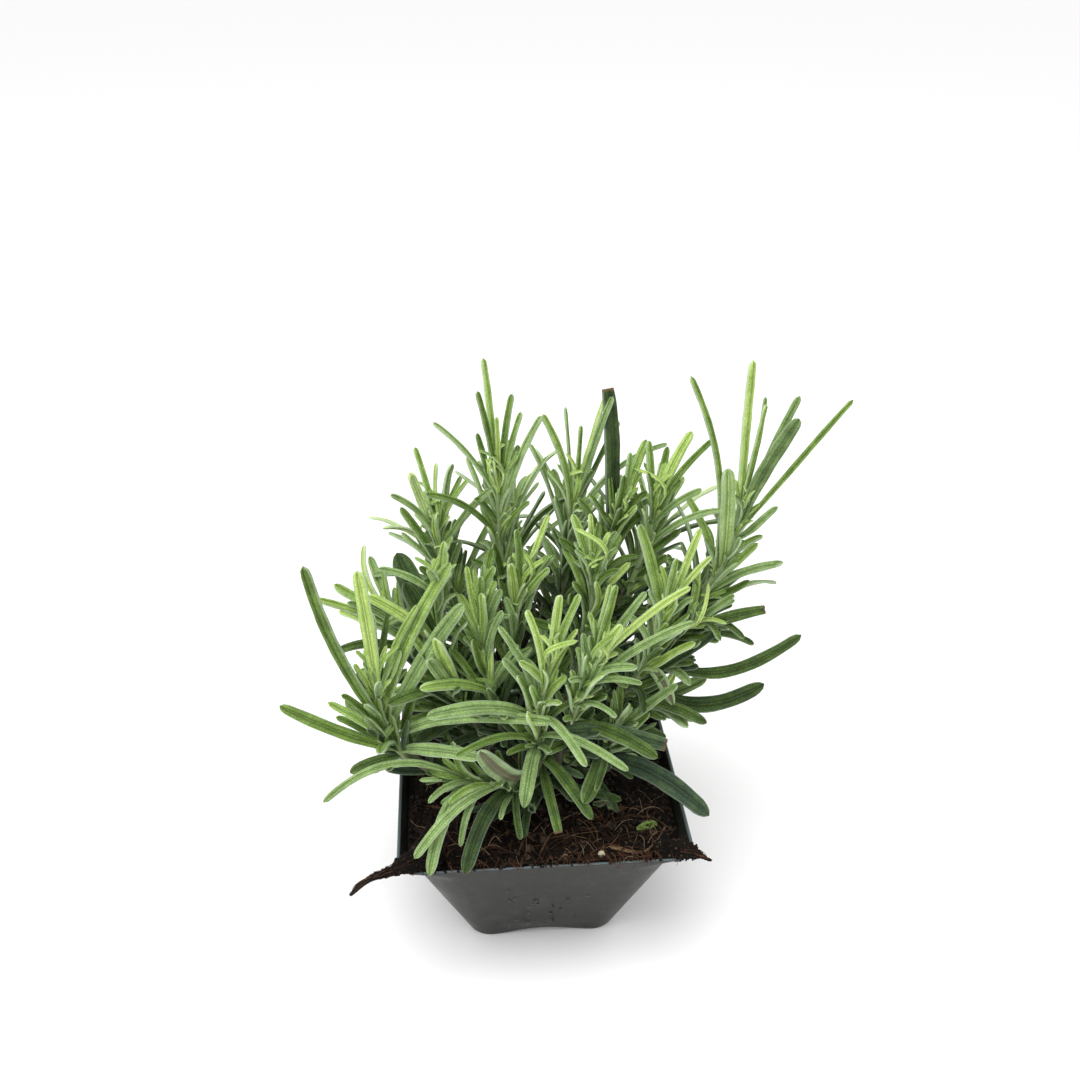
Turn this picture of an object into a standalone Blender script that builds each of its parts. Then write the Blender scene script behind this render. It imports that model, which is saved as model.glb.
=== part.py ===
# A young lavender in a square nursery pot. Lengths in the tables are millimetres; the scene is in metres.
# The front is -Y and the pot stands on z = 0, with the origin at the middle of its base.
import math
import random

import bmesh
import bpy
from mathutils import Matrix, Vector, noise
from mathutils.bvhtree import BVHTree

mm = 0.001

# Pot
potHeight = 43.0
rimHalf = 40.0
baseHalf = 21.5
potWall = 0.9
rimCorner = 4.0
shoulderCorner = 15.0
baseCorner = 7.0
shoulderDepth = 0.12
footArch = 1.8
footInset = 6.0
floorThickness = 1.2
drainRadius = 2.5
drainPlace = 9.0
drainOver = 2.0

# Soil
soilLevel = 39.4
soilBump = 0.9
soilGap = 0.3
soilBottom = 3.4

# Plant
crown = Vector((3.0, 3.0, 41.5))
crownProfile = ((-10.0, 2.6), (-2.5, 3.9), (1.0, 4.4), (3.2, 3.5), (4.4, 1.6))
crownSides = 10
crownReach = 5.7
socketGap = 0.4
shootRadii = (1.6, 0.6)
shootSides = 5
woodySpans = 2
forkGap = 0.3
seatGap = 0.75
leafStations = (0.0, 0.3, 0.72, 1.0)
leafWidths = (0.32, 0.92, 0.95, 0.0)
leafThickness = 0.7
leafClearance = 0.22

# Each shoot forks from the crown, or from the woody part of another shoot, given with how far up that part.
# It has its stem, its leaves, and the count, length and width of the older pairs on it. A leaf is
# (place along the stem, tip, width, lift of the leaf's middle, own node or None).
shoots = {
    "shoot_left": {
        "fork": None,
        "stem": ((-35, -11, 58), (-40, -12, 65), (-43, -11, 75), (-43, -10, 84)),
        "leaves": (
            (0.30, (-60, -14, 121), 3.8, 0, None),
            (0.75, (-46, -12, 119), 3.6, 0, None),
            (0.70, (-44, -5, 102), 2.4, 0, None),
            (0.85, (-40, -3, 100), 1.7, 0, None),
            (0.60, (-23, -8, 118), 3.8, -2, None),
            (0.80, (-30, -10, 106), 1.9, 0, None),
            (0.45, (-20, -17, 111), 4.1, -3, None),
            (0.20, (-69, -14, 80), 3.2, -6, None),
            (0.25, (-53, -3, 73), 2.9, -3, None),
            (0.10, (-46, -14, 56), 1.8, 0, None),
            (0.15, (-17, -33, 75), 3.3, 0, None),
            (0.35, (2, -29, 82), 3.1, 2, "leaf_crossing"),
        ),
        "low": (2, 20, 3.0),
    },
    "shoot_mid_left": {
        "fork": ("shoot_left", 0.25),
        "stem": ((-17, -7, 66), (-22, -9, 78), (-26, -6, 92), (-26, -2, 106)),
        "leaves": (
            (0.20, (-29, -19, 96), 3.1, 0, None),
            (0.30, (-28, -23, 102), 3.9, 0, None),
            (0.50, (-35, 0, 108), 4.0, 0, None),
            (0.55, (-37, 9, 112), 6.2, 0, "leaf_broad_left"),
            (0.65, (-42, 2, 107), 3.0, 0, None),
            (0.95, (-41, -6, 116), 1.8, 1, None),
            (0.98, (-24, -4, 122), 2.2, 0, None),
        ),
        "low": (3, 22, 3.2),
    },
    "shoot_inner_left": {
        "fork": ("shoot_front", 0.50),
        "stem": ((-9, -9, 62), (-13, -11, 78), (-15, -8, 92), (-15, -4, 102)),
        "leaves": (
            (0.80, (-14, 1, 112), 1.8, 0, None),
            (0.75, (-15, -9, 114), 2.0, 0, None),
            (0.95, (-12, 5, 115), 3.0, 0, None),
            (0.70, (-8, -14, 105), 1.5, 3, None),
            (0.50, (-10, -18, 109), 2.0, 0, None),
            (0.55, (-22, -14, 108), 2.2, 0, None),
        ),
        "low": (3, 20, 2.6),
    },
    "shoot_back_left": {
        "fork": ("shoot_back_tall", 0.25),
        "stem": ((-14, 12, 74), (-20, 15, 88), (-25, 17, 102), (-26, 18, 114)),
        "leaves": (
            (0.95, (-31, 22, 137), 1.7, 0, None),
            (0.98, (-26, 18, 134), 1.5, 0, None),
            (0.90, (-38, 14, 127), 1.7, 2, None),
            (0.85, (-19, 24, 127), 1.7, 0, None),
            (0.95, (-17, 18, 129), 1.4, 0, None),
            (0.75, (-11, 14, 128), 2.2, 0, None),
            (0.60, (-36, 24, 118), 2.4, 0, None),
        ),
        "low": (3, 22, 3.0),
    },
    "shoot_back_tall": {
        "fork": None,
        "stem": ((-4, 11, 72), (-7, 15, 90), (-9, 18, 108), (-9, 19, 126)),
        "leaves": (
            (0.95, (-12, 24, 161), 2.1, 0, None),
            (0.98, (-14, 16, 155), 1.9, 0, None),
            (0.85, (-5, 26, 150), 2.1, 0, None),
            (0.80, (-3, 18, 148), 1.9, 0, None),
            (0.96, (-9, 21, 146), 1.3, 0, None),
            (0.92, (-26, 22, 144), 1.7, 2, None),
            (0.70, (-28, 10, 134), 1.9, 3, None),
            (0.75, (-14, 28, 138), 1.9, 0, None),
            (0.55, (-17, 32, 129), 2.6, 0, None),
            (0.75, (2, 15, 148), 2.1, 0, None),
            (0.65, (-1, 11, 125), 1.4, 2, None),
            (0.50, (5, 26, 131), 1.4, 3, None),
        ),
        "low": (4, 24, 2.8),
    },
    "shoot_back_centre": {
        "fork": ("shoot_back_tall", 0.25),
        "stem": ((6, 13, 76), (8, 17, 92), (10, 19, 108), (12, 20, 120)),
        "leaves": (
            (0.85, (3, 16, 148), 2.3, 0, None),
            (0.80, (10, 30, 144), 1.4, 0, None),
            (0.98, (14, 24, 141), 1.3, 0, None),
            (0.90, (19, 20, 150), 2.3, 0, None),
            (0.95, (23, 14, 152), 1.9, 0, None),
            (0.85, (24, 24, 142), 1.7, 0, None),
            (0.75, (37, 20, 137), 1.5, 6, None),
            (0.60, (0, 28, 134), 2.2, 0, None),
        ),
        "low": (4, 22, 2.8),
    },
    "shoot_mid_right": {
        "fork": ("shoot_back_right", 0.50),
        "stem": ((14, 9, 84), (18, 11, 98), (21, 12, 110), (23, 12, 120)),
        "leaves": (
            (0.80, (20, 15, 131), 1.7, 0, None),
            (0.85, (24, 8, 133), 2.0, 0, None),
            (0.95, (31, 18, 139), 2.3, 0, None),
            (0.98, (26, 12, 138), 1.6, 0, None),
            (0.70, (29, 24, 130), 1.4, 4, None),
            (0.60, (12, 10, 126), 2.0, 0, None),
            (0.72, (21, 20, 153), 4.4, 0, "leaf_broad_back"),
        ),
        "low": (3, 22, 2.8),
    },
    "shoot_centre": {
        "fork": ("shoot_right_front", 0.50),
        "stem": ((9, -1, 72), (12, -2, 88), (15, -2, 102), (15, -1, 110)),
        "leaves": (
            (0.80, (10, 3, 125), 2.6, 0, None),
            (0.90, (21, 0, 121), 2.1, 0, None),
            (0.98, (14, -1, 127), 1.5, 0, None),
            (0.85, (17, -8, 117), 1.7, 0, None),
        ),
        "low": (4, 20, 2.6),
    },
    "shoot_centre_left": {
        "fork": ("shoot_back_tall", 0.50),
        "stem": ((-3, -1, 66), (-6, -2, 80), (-6, -1, 94), (-4, 2, 104)),
        "leaves": (
            (0.90, (-5, 1, 122), 2.0, 0, None),
            (0.70, (-7, -5, 115), 2.6, 0, None),
            (0.95, (4, 9, 122), 1.7, 0, None),
            (0.80, (3, -6, 114), 2.0, 0, None),
        ),
        "low": (4, 20, 2.6),
    },
    "shoot_back_right": {
        "fork": None,
        "stem": ((20, 9, 80), (27, 12, 96), (32, 14, 110), (33, 14, 120)),
        "leaves": (
            (0.95, (42, 13, 143), 2.6, 0, None),
            (0.90, (47, 10, 142), 1.7, 0, None),
            (0.80, (44, 5, 130), 1.9, 0, None),
            (0.60, (49, 1, 126), 2.0, 2, None),
            (0.98, (31, 15, 140), 2.3, 0, None),
            (0.75, (38, 24, 134), 2.0, 0, None),
            (0.70, (26, 20, 128), 1.8, 0, None),
        ),
        "low": (4, 22, 2.8),
    },
    "shoot_right_tall": {
        "fork": ("shoot_back_right", 0.50),
        "stem": ((36, 5, 80), (44, 4, 93), (52, 4, 110), (55, 5, 123)),
        "leaves": (
            (0.52, (40, 2, 163), 2.0, 0, None),
            (0.95, (55, 7, 165), 2.7, 0, None),
            (0.97, (61, 11, 153), 1.3, 0, None),
            (0.98, (59, 4, 154), 1.3, 0, None),
            (0.90, (69, 9, 154), 2.1, 0, None),
            (0.85, (66, -2, 152), 3.6, 0, None),
            (0.80, (80, 0, 156), 1.5, -4, None),
            (0.60, (46, -12, 144), 4.0, -2, None),
            (0.40, (65, 0, 109), 1.9, 3, None),
            (0.50, (58, 9, 112), 1.5, 2, None),
            (0.55, (42, 14, 124), 2.2, 0, None),
        ),
        "low": (3, 20, 2.6),
    },
    "shoot_right": {
        "fork": ("shoot_right_front", 0.50),
        "stem": ((27, 3, 70), (33, 1, 78), (38, 0, 86), (41, -2, 92)),
        "leaves": (
            (0.40, (74, 0, 86), 3.2, -20, "leaf_right_long"),
            (0.12, (64, -3, 72), 4.2, -20, "leaf_right_low"),
            (0.80, (64, 3, 93), 3.1, 0, "leaf_right_cut"),
            (0.90, (52, -8, 105), 1.9, 0, None),
            (0.95, (53, -5, 101), 1.4, 0, None),
            (0.98, (44, 2, 108), 2.2, 0, None),
        ),
        "low": (2, 18, 2.8),
    },
    "shoot_right_front": {
        "fork": None,
        "stem": ((20, -3, 66), (27, -6, 78), (32, -6, 90), (34, -6, 101)),
        "leaves": (
            (0.85, (26, -6, 126), 3.3, 0, None),
            (0.80, (43, -2, 122), 2.0, 0, None),
            (0.95, (45, -8, 117), 1.6, 0, None),
            (0.90, (35, -12, 119), 2.0, 0, None),
            (0.35, (48, -12, 95), 2.0, -6, None),
            (0.15, (46, -14, 68), 3.1, 0, None),
            (0.45, (36, -15, 75), 3.1, 2, "leaf_dead"),
        ),
        "low": (3, 18, 2.8),
    },
    "shoot_front": {
        "fork": None,
        "stem": ((1, -14, 54), (-1, -19, 66), (-1, -22, 80), (2, -22, 96)),
        "leaves": (
            (0.90, (9, -24, 117), 2.0, 0, None),
            (0.95, (4, -27, 119), 2.3, 0, None),
            (0.80, (-4, -26, 114), 2.0, 0, None),
            (0.70, (-11, -20, 106), 1.9, 0, None),
            (0.65, (-10, -26, 100), 2.3, 0, None),
            (0.60, (-29, -34, 88), 3.4, 2, None),
            (0.62, (9, -44, 81), 2.3, 3, None),
            (0.45, (20, -41, 75), 2.1, 3, None),
            (0.40, (-23, -37, 79), 2.0, 3, None),
            (0.20, (-17, -41, 84), 5.6, -18, "leaf_underside"),
            (0.35, (-6, -36, 60), 3.6, 5, None),
            (0.25, (12, -37, 56), 3.1, 2, None),
            (0.15, (3, -38, 53), 2.6, 1, "leaf_front_stub"),
            (0.40, (32, -28, 72), 4.1, 3, "leaf_broad_front"),
        ),
        "low": (0, 18, 2.8),
    },
    "shoot_front_right": {
        "fork": ("shoot_front", 0.50),
        "stem": ((6, -15, 62), (8, -19, 74), (10, -22, 86), (13, -23, 96)),
        "leaves": (
            (0.85, (19, -28, 110), 2.4, 0, None),
            (0.95, (26, -21, 115), 1.9, 0, None),
            (0.90, (38, -18, 114), 1.9, 3, None),
            (0.60, (38, -25, 108), 2.1, 3, None),
            (0.98, (18, -24, 119), 2.1, 0, None),
            (0.80, (18, -15, 114), 1.7, 0, None),
            (0.70, (24, -32, 95), 1.6, 2, None),
            (0.50, (17, -37, 89), 1.5, 2, None),
            (0.30, (29, -33, 72), 3.6, 2, None),
            (0.75, (6, -32, 97), 1.6, 0, None),
        ),
        "low": (1, 18, 2.6),
    },
    "shoot_front_low": {
        "fork": ("shoot_front", 0.25),
        "stem": ((-3, -14, 49), (-8, -20, 54), (-14, -23, 58), (-21, -22, 59)),
        "leaves": (
            (0.98, (-59, -24, 55), 2.0, 16, "leaf_left_arching"),
            (0.90, (-31, -43, 45), 3.4, 5, "leaf_over_rim_left"),
            (0.50, (-36, -41, 51), 2.6, 4, None),
            (0.70, (-23, -37, 49), 1.8, 1, None),
            (0.35, (-22, -43, 45), 3.9, 5, "leaf_over_rim"),
            (0.25, (-7, -39, 52), 1.8, 2, None),
        ),
        "low": (0, 18, 2.8),
    },
    "shoot_low_right": {
        "fork": ("shoot_right_front", 0.25),
        "stem": ((11, -6, 50), (16, -10, 55), (19, -13, 61), (20, -15, 67)),
        "leaves": (
            (0.30, (45, -28, 47), 5.2, 5, "leaf_big_dark"),
            (0.50, (10, -35, 60), 4.4, 2, None),
            (0.60, (13, -35, 64), 1.8, 2, None),
            (0.90, (36, -18, 84), 2.4, 0, None),
            (0.95, (22, -26, 84), 2.2, 0, None),
        ),
        "low": (1, 18, 2.8),
    },
}

# Shoots away from the front: (fork, start and end of the stem, pairs of leaves, leaf length, leaf width).
plainShoots = {
    "shoot_rear_left": (None, (-17, 26, 72), (-27, 36, 100), 7, 27, 2.6),
    "shoot_rear": (None, (-3, 30, 74), (-4, 42, 106), 7, 27, 2.6),
    "shoot_rear_mid": (("shoot_rear", 0.50), (12, 28, 72), (15, 42, 102), 7, 27, 2.8),
    "shoot_rear_right": (("shoot_back_right", 0.25), (26, 24, 72), (37, 36, 101), 7, 27, 2.6),
    "shoot_side_right": (("shoot_rear_right", 0.50), (38, 16, 70), (53, 22, 96), 6, 26, 2.8),
    "shoot_side_left": (("shoot_left", 0.25), (-26, 8, 66), (-40, 14, 88), 6, 26, 2.8),
    "shoot_low_rear": (("shoot_rear", 0.25), (8, 19, 50), (11, 31, 57), 4, 24, 3.4),
    "shoot_low_left": (("shoot_left", 0.25), (-14, 6, 50), (-27, 12, 60), 4, 24, 3.4),
    "shoot_low_side": (("shoot_right_front", 0.25), (19, 4, 50), (31, 8, 58), 4, 22, 3.4),
}


def smooth(points, place):
    """Point and direction at a place from 0 to 1 on a curve through the points."""
    spans = len(points) - 1
    here = min(max(place, 0.0), 1.0) * spans
    span = min(int(here), spans - 1)
    t = here - span
    b = Vector(points[span])
    c = Vector(points[span + 1])
    a = Vector(points[span - 1]) if span > 0 else 2 * b - c
    d = Vector(points[span + 2]) if span + 2 <= spans else 2 * c - b
    tangentB = (c - a) / 2
    tangentC = (d - b) / 2
    point = b * (2 * t**3 - 3 * t**2 + 1) + tangentB * (t**3 - 2 * t**2 + t)
    point += c * (3 * t**2 - 2 * t**3) + tangentC * (t**3 - t**2)
    way = b * (6 * t**2 - 6 * t) + tangentB * (3 * t**2 - 4 * t + 1)
    way += c * (6 * t - 6 * t**2) + tangentC * (3 * t**2 - 2 * t)
    return point, way.normalized()


def leafLine(base, tip, along, lift):
    """Function for the point and way of a leaf's middle line: it leaves along its stem and bends to its tip."""
    reach = (tip - base).length
    bend = base.lerp(tip, 0.5).lerp(base + along * reach * 0.5, 0.35) + Vector((0, 0, lift))

    def at(t):
        point = base * (1 - t) ** 2 + bend * 2 * t * (1 - t) + tip * t**2
        way = (bend - base) * (1 - t) + (tip - bend) * t
        return point, way.normalized()

    return at


def leafFace(along, outward, way):
    """Unit vector out of the leaf's upper side, which looks to the stem and up."""
    face = along - outward * 0.5 + Vector((0, 0, 0.35))
    face -= way * face.dot(way)
    return face.normalized()


def leafShape(leaf, extra=0.0):
    """Points and faces of one plain leaf: rings of four points and a tip."""
    points = []
    for station, share in zip(leafStations[:-1], leafWidths):
        middle, way = leaf["at"](station)
        face = leafFace(leaf["along"], leaf["outward"], way)
        side = way.cross(face)
        half = leaf["width"] * share / 2 + extra
        thick = leafThickness / 2 + extra
        points += [middle + side * half, middle + face * thick, middle - side * half, middle - face * thick]
    tip, way = leaf["at"](1.0)
    points.append(tip + way * extra)
    faces = [(3, 2, 1, 0)]
    last = len(points) - 5
    for ring in range(0, last, 4):
        for corner in range(4):
            after = (corner + 1) % 4
            faces.append((ring + corner, ring + after, ring + 4 + after, ring + 4 + corner))
    for corner in range(4):
        faces.append((last + corner, last + (corner + 1) % 4, len(points) - 1))
    return points, faces


def tubeShape(points, radii, rings, sides):
    """Points and faces of a tapering round stem along a smooth curve, closed at both ends."""
    skin = []
    for ring in range(rings):
        place = ring / (rings - 1)
        middle, way = smooth(points, place)
        side = way.cross(Vector((0, 1, 0))).normalized()
        front = way.cross(side)
        radius = radii[0] + (radii[1] - radii[0]) * place
        for k in range(sides):
            turn = 2 * math.pi * k / sides
            skin.append(middle + (side * math.cos(turn) + front * math.sin(turn)) * radius)
    return loft([skin[k:k + sides] for k in range(0, len(skin), sides)])


def shootShape(line, extra=0.0):
    radii = (shootRadii[0] + extra, shootRadii[1] + extra)
    return tubeShape(line, radii, 2 * len(line) - 1, shootSides)


def crownShape(extra=0.0):
    rings = []
    for height, radius in crownProfile:
        ring = []
        for k in range(crownSides):
            turn = 2 * math.pi * k / crownSides
            flat = Vector((math.cos(turn), math.sin(turn), 0)) * (radius + extra)
            ring.append(crown + flat + Vector((0, 0, height + (extra if height > 0 else -extra))))
        rings.append(ring)
    return loft(rings)


def pieceOf(node, shape, ringsInside=0):
    """A placed piece: all its faces, and those past its first rings, which lie clear of its own stem."""
    points, faces = shape
    inside = ringsInside * 4
    free = [face for face in faces if min(face) >= inside]
    low = [min(point[axis] for point in points) for axis in range(3)]
    high = [max(point[axis] for point in points) for axis in range(3)]
    return {"node": node, "low": low, "high": high, "whole": BVHTree.FromPolygons(points, faces),
            "free": BVHTree.FromPolygons(points, free) if inside else None}


def clearOfPot(points):
    """True where no point is in the soil, the rim or the wall."""
    for point in points:
        reach = max(abs(point.x), abs(point.y))
        if reach < rimHalf + 1.5 and point.z < potHeight + 0.6:
            if reach > rimHalf - 2.5 or point.z < soilLevel + 2.5:
                return False
    return True


def meets(mine, placed):
    """True if a piece runs into another node, or a leaf's free part into that of a leaf on the same shoot."""
    for other in placed:
        if any(mine["low"][k] > other["high"][k] or other["low"][k] > mine["high"][k] for k in range(3)):
            continue
        if other["node"] != mine["node"]:
            if mine["whole"].overlap(other["whole"]):
                return True
        elif mine["free"] and other["free"] and mine["free"].overlap(other["free"]):
            return True
    return False


def settle(leaf, placed):
    """Turns a leaf a little about its base, or shortens it, until it is clear of the other nodes."""
    reach = leaf["tip"] - leaf["base"]
    for share in (1.0, 0.85, 0.7):
        for turn, tilt in leafTries:
            level = Vector((0, 0, 1)).cross(reach)
            move = Matrix.Rotation(math.radians(turn), 3, "Z")
            if level.length > 0.1:
                move = move @ Matrix.Rotation(math.radians(tilt), 3, level)
            tip = leaf["base"] + move @ reach * share
            leaf["at"] = leafLine(leaf["base"], tip, leaf["along"], leaf["lift"])
            shape = leafShape(leaf, leafClearance)
            if clearOfPot(shape[0]) and not meets(pieceOf(leaf["node"], shape, 1), placed):
                leaf["tip"] = tip
                return True
    return False


leafTries = ((0, 0), (4, 0), (-4, 0), (0, 4), (0, -4), (8, 0), (-8, 0), (0, 8), (0, -8),
             (11, 7), (-11, 7), (11, -7), (-11, -7), (17, 0), (-17, 0), (0, 15), (0, -15))


def stemPlace(line, place):
    """Place on a shoot's whole line that is this far up its stem, past the woody part."""
    spans = len(line) - 1
    return (woodySpans + place * (spans - woodySpans)) / spans


def radiusAt(place):
    return shootRadii[0] + (shootRadii[1] - shootRadii[0]) * place


def leafAt(name, line, place, tip, width, lift, own):
    """A leaf that grows from a place on a stem; one with its own node starts clear of the stem."""
    where = stemPlace(line, place)
    middle, along = smooth(line, where)
    outward = tip - middle
    outward -= along * outward.dot(along)
    outward.normalize()
    base = middle + outward * (radiusAt(where) + seatGap if own else radiusAt(where) * 0.1)
    return {"node": own or name, "base": base, "tip": tip, "along": along, "outward": outward,
            "width": width, "lift": lift, "shoot": name}


def lowerLeaves(name, line, low, chance):
    """Older leaves in crossed pairs on the lower half of a stem."""
    count, length, width = low
    leaves = []
    for pair in range(count):
        place = 0.08 + 0.42 * pair / max(count, 1)
        turn = chance.uniform(0, math.pi / 4) + math.pi / 2 * (pair % 2)
        leaves += leafPair(name, line, place, turn, length, width, 62, chance)
    return leaves


def leafPair(name, line, place, turn, length, width, spread, chance):
    """Two opposite leaves at one place on a stem."""
    middle, along = smooth(line, stemPlace(line, place))
    side = along.cross(Vector((0, 1, 0))).normalized()
    front = along.cross(side)
    pair = []
    for half in (0, math.pi):
        around = turn + half + chance.uniform(-0.25, 0.25)
        out = side * math.cos(around) + front * math.sin(around)
        lean = math.radians(spread * chance.uniform(0.8, 1.15))
        reach = length * chance.uniform(0.8, 1.12)
        tip = middle + (along * math.cos(lean) + out * math.sin(lean)) * reach
        pair.append(leafAt(name, line, place, tip, width * chance.uniform(0.85, 1.15), 0, None))
    return pair


def plainLeaves(name, line, pairs, length, width, chance):
    """Crossed pairs up a whole stem, closing towards its tip."""
    leaves = []
    for pair in range(pairs):
        place = 0.10 + 0.88 * pair / (pairs - 1)
        turn = math.pi / 2 * (pair % 2) + 0.3 * pair
        spread = 68 - 50 * place**1.5
        size = length * (0.8 + 0.35 * math.sin(math.pi * place))
        leaves += leafPair(name, line, place, turn, size, width, spread, chance)
    return leaves


def rootOf(target, fork, lines, turn, shift):
    """Where a shoot starts: just off the crown, or off the woody part of the shoot that it forks from."""
    if fork is None:
        way = target - crown
        way.z = max(way.z, 0.45 * way.length)
        return crown + Matrix.Rotation(math.radians(turn), 3, "Z") @ way.normalized() * crownReach
    line = lines[fork[0]]
    place = (fork[1] + shift) * woodySpans / (len(line) - 1)
    middle, along = smooth(line, place)
    way = (target - middle).normalized()
    way = Matrix.Rotation(math.radians(turn), 3, along) @ way
    lean = max(way.angle(along), 0.4)
    step = (radiusAt(place) + forkGap + shootRadii[0] * math.cos(lean)) / math.sin(lean)
    return middle + way * step


def shootLine(name, stem, fork, lines, placed):
    """A shoot's whole line, root to tip, with the root where the shoot is clear of the others."""
    start, along = smooth(stem, 0.0)
    for shift in (0, 0.12, -0.12, 0.24, -0.24):
        for turn in (0, 20, -20, 40, -40, 60, -60, 90, -90):
            root = rootOf(start, fork, lines, turn, shift)
            back = start - along * (start - root).length * 0.5
            rise = root.lerp(start, 0.5).lerp(back, 0.6)
            line = (root, rise, *[Vector(point) for point in stem])
            if not meets(pieceOf(name, shootShape(line, leafClearance)), placed):
                return line
    print("no clear way for", name)
    return line


def plantPlan():
    """The line of every shoot, and every leaf, each clear of the other nodes."""
    chance = random.Random(7)
    stems = {name: plan["stem"] for name, plan in shoots.items()}
    forks = {name: plan["fork"] for name, plan in shoots.items()}
    for name, (fork, start, end, *_) in plainShoots.items():
        middle = (Vector(start) + Vector(end)) / 2 + Vector((0, 0, 3))
        stems[name] = (start, middle, end)
        forks[name] = fork
    placed = [pieceOf("crown", crownShape())]
    lines = {}
    while len(lines) < len(stems):
        for name, fork in forks.items():
            if name not in lines and (fork is None or fork[0] in lines):
                lines[name] = shootLine(name, stems[name], fork, lines, placed)
                placed.append(pieceOf(name, shootShape(lines[name])))
    wanted = []
    for name, plan in shoots.items():
        for place, tip, width, lift, own in plan["leaves"]:
            wanted.append(leafAt(name, lines[name], place, Vector(tip), width, lift, own))
    for name, plan in shoots.items():
        wanted += lowerLeaves(name, lines[name], plan["low"], chance)
    for name, (_, _, _, pairs, length, width) in plainShoots.items():
        wanted += plainLeaves(name, lines[name], pairs, length, width, chance)
    leaves = []
    wanted.sort(key=lambda leaf: leaf["node"] == leaf["shoot"])
    for leaf in wanted:
        if settle(leaf, placed):
            placed.append(pieceOf(leaf["node"], leafShape(leaf), 1))
            leaves.append(leaf)
        elif leaf["node"] != leaf["shoot"]:
            print("no room for", leaf["node"])
    return lines, leaves


def plainMaterial(name, colour, roughness):
    material = bpy.data.materials.new(name)
    material.use_nodes = True
    shader = material.node_tree.nodes["Principled BSDF"]
    shader.inputs["Base Color"].default_value = (*colour, 1)
    shader.inputs["Roughness"].default_value = roughness
    shader.inputs["Metallic"].default_value = 0.0
    return material


def solid(name, shape, material, helpers=None):
    """An object from points in millimetres; with a collection of helpers it is kept out of the render."""
    points, faces = shape
    sheet = bmesh.new()
    corners = [sheet.verts.new(point * mm) for point in points]
    for face in faces:
        sheet.faces.new([corners[k] for k in face])
    bmesh.ops.triangulate(sheet, faces=sheet.faces)
    bmesh.ops.recalc_face_normals(sheet, faces=sheet.faces)
    mesh = bpy.data.meshes.new(name)
    sheet.to_mesh(mesh)
    sheet.free()
    mesh.materials.append(material)
    thing = bpy.data.objects.new(name, mesh)
    (helpers or bpy.context.scene.collection).objects.link(thing)
    if helpers:
        thing.hide_render = True
        thing.display_type = "WIRE"
    return thing


def helperGroup(name):
    group = bpy.data.collections.new(name)
    bpy.context.scene.collection.children.link(group)
    return group


def combine(thing, group, operation):
    modifier = thing.modifiers.new(operation.lower(), "BOOLEAN")
    modifier.operation = operation
    modifier.operand_type = "COLLECTION"
    modifier.collection = group
    modifier.solver = "EXACT"


def squareRing(half, corner, level, straight=3, arc=5):
    """Points of a rounded square; level(along) gives z, with along from -1 to 1 on each side."""
    ring = []
    for side in range(4):
        turn = Matrix.Rotation(math.pi / 2 * side, 3, "Z")
        flat = half - corner
        for k in range(straight):
            x = -flat + 2 * flat * (k + 0.5) / straight
            ring.append(turn @ Vector((x, -half, level(x / half))))
        for k in range(arc):
            angle = math.pi / 2 * (k + 0.5) / arc
            x = flat + corner * math.sin(angle)
            y = -flat - corner * math.cos(angle)
            ring.append(turn @ Vector((x, y, level(1.0))))
    return ring


def potSection(z, inset):
    """Half width and corner radius of the pot's outside at a height, moved in by an inset."""
    depth = (potHeight - z) / potHeight
    half = rimHalf + (baseHalf - rimHalf) * depth
    if depth < shoulderDepth:
        corner = rimCorner + (shoulderCorner - rimCorner) * math.sin(math.pi / 2 * depth / shoulderDepth)
    else:
        share = (depth - shoulderDepth) / (1 - shoulderDepth)
        corner = shoulderCorner + (baseCorner - shoulderCorner) * share
    return half - inset, max(corner - inset, 1.0)


def loft(rings, capStart=True, capEnd=True):
    """Points and faces of a skin through rings of equal count."""
    points = [point for ring in rings for point in ring]
    count = len(rings[0])
    faces = []
    for low in range(0, len(points) - count, count):
        for k in range(count):
            after = (k + 1) % count
            faces.append((low + k, low + after, low + count + after, low + count + k))
    if capStart:
        faces.append(tuple(reversed(range(count))))
    if capEnd:
        faces.append(tuple(range(len(points) - count, len(points))))
    return points, faces


def footLevel(along):
    return footArch * math.cos(math.pi / 2 * min(abs(along) / 0.75, 1.0)) ** 2


def buildPot(material):
    heights = [potHeight * (1 - shoulderDepth * k / 4) for k in range(5)]
    outer = [squareRing(*potSection(z, 0), lambda along, z=z: z) for z in heights]
    outer.append(squareRing(*potSection(footArch + 4, 0), lambda along: footArch + 4))
    foot = squareRing(*potSection(0, 0), footLevel)
    floorOut = squareRing(baseHalf - footInset, baseCorner / 2, lambda along: 0)
    floorIn = squareRing(baseHalf - footInset, baseCorner / 2, lambda along: floorThickness)
    footIn = squareRing(*potSection(0, potWall), lambda along: footLevel(along) + floorThickness)
    inner = [squareRing(*potSection(z, potWall), lambda along, z=z: z) for z in heights]
    inner.append(squareRing(*potSection(footArch + 4, potWall), lambda along: footArch + 4))
    rings = [floorOut, foot, *reversed(outer), *inner, footIn, floorIn]
    pot = solid("pot", loft(rings), material)
    drains = helperGroup("drain_cutters")
    for x, y in ((-1, -1), (1, -1), (1, 1), (-1, 1)):
        low = Vector((x * drainPlace, y * drainPlace, -drainOver))
        high = Vector((x * drainPlace, y * drainPlace, floorThickness + drainOver))
        solid("drain_cutter", tubeShape([low, high], (drainRadius, drainRadius), 2, 12), material, drains)
    combine(pot, drains, "DIFFERENCE")
    return pot


def soilHeight(x, y):
    rough = noise.noise(Vector((x, y, 0)) * 0.16) + 0.5 * noise.noise(Vector((x, y, 9)) * 0.37)
    return soilLevel + soilBump * rough


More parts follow.
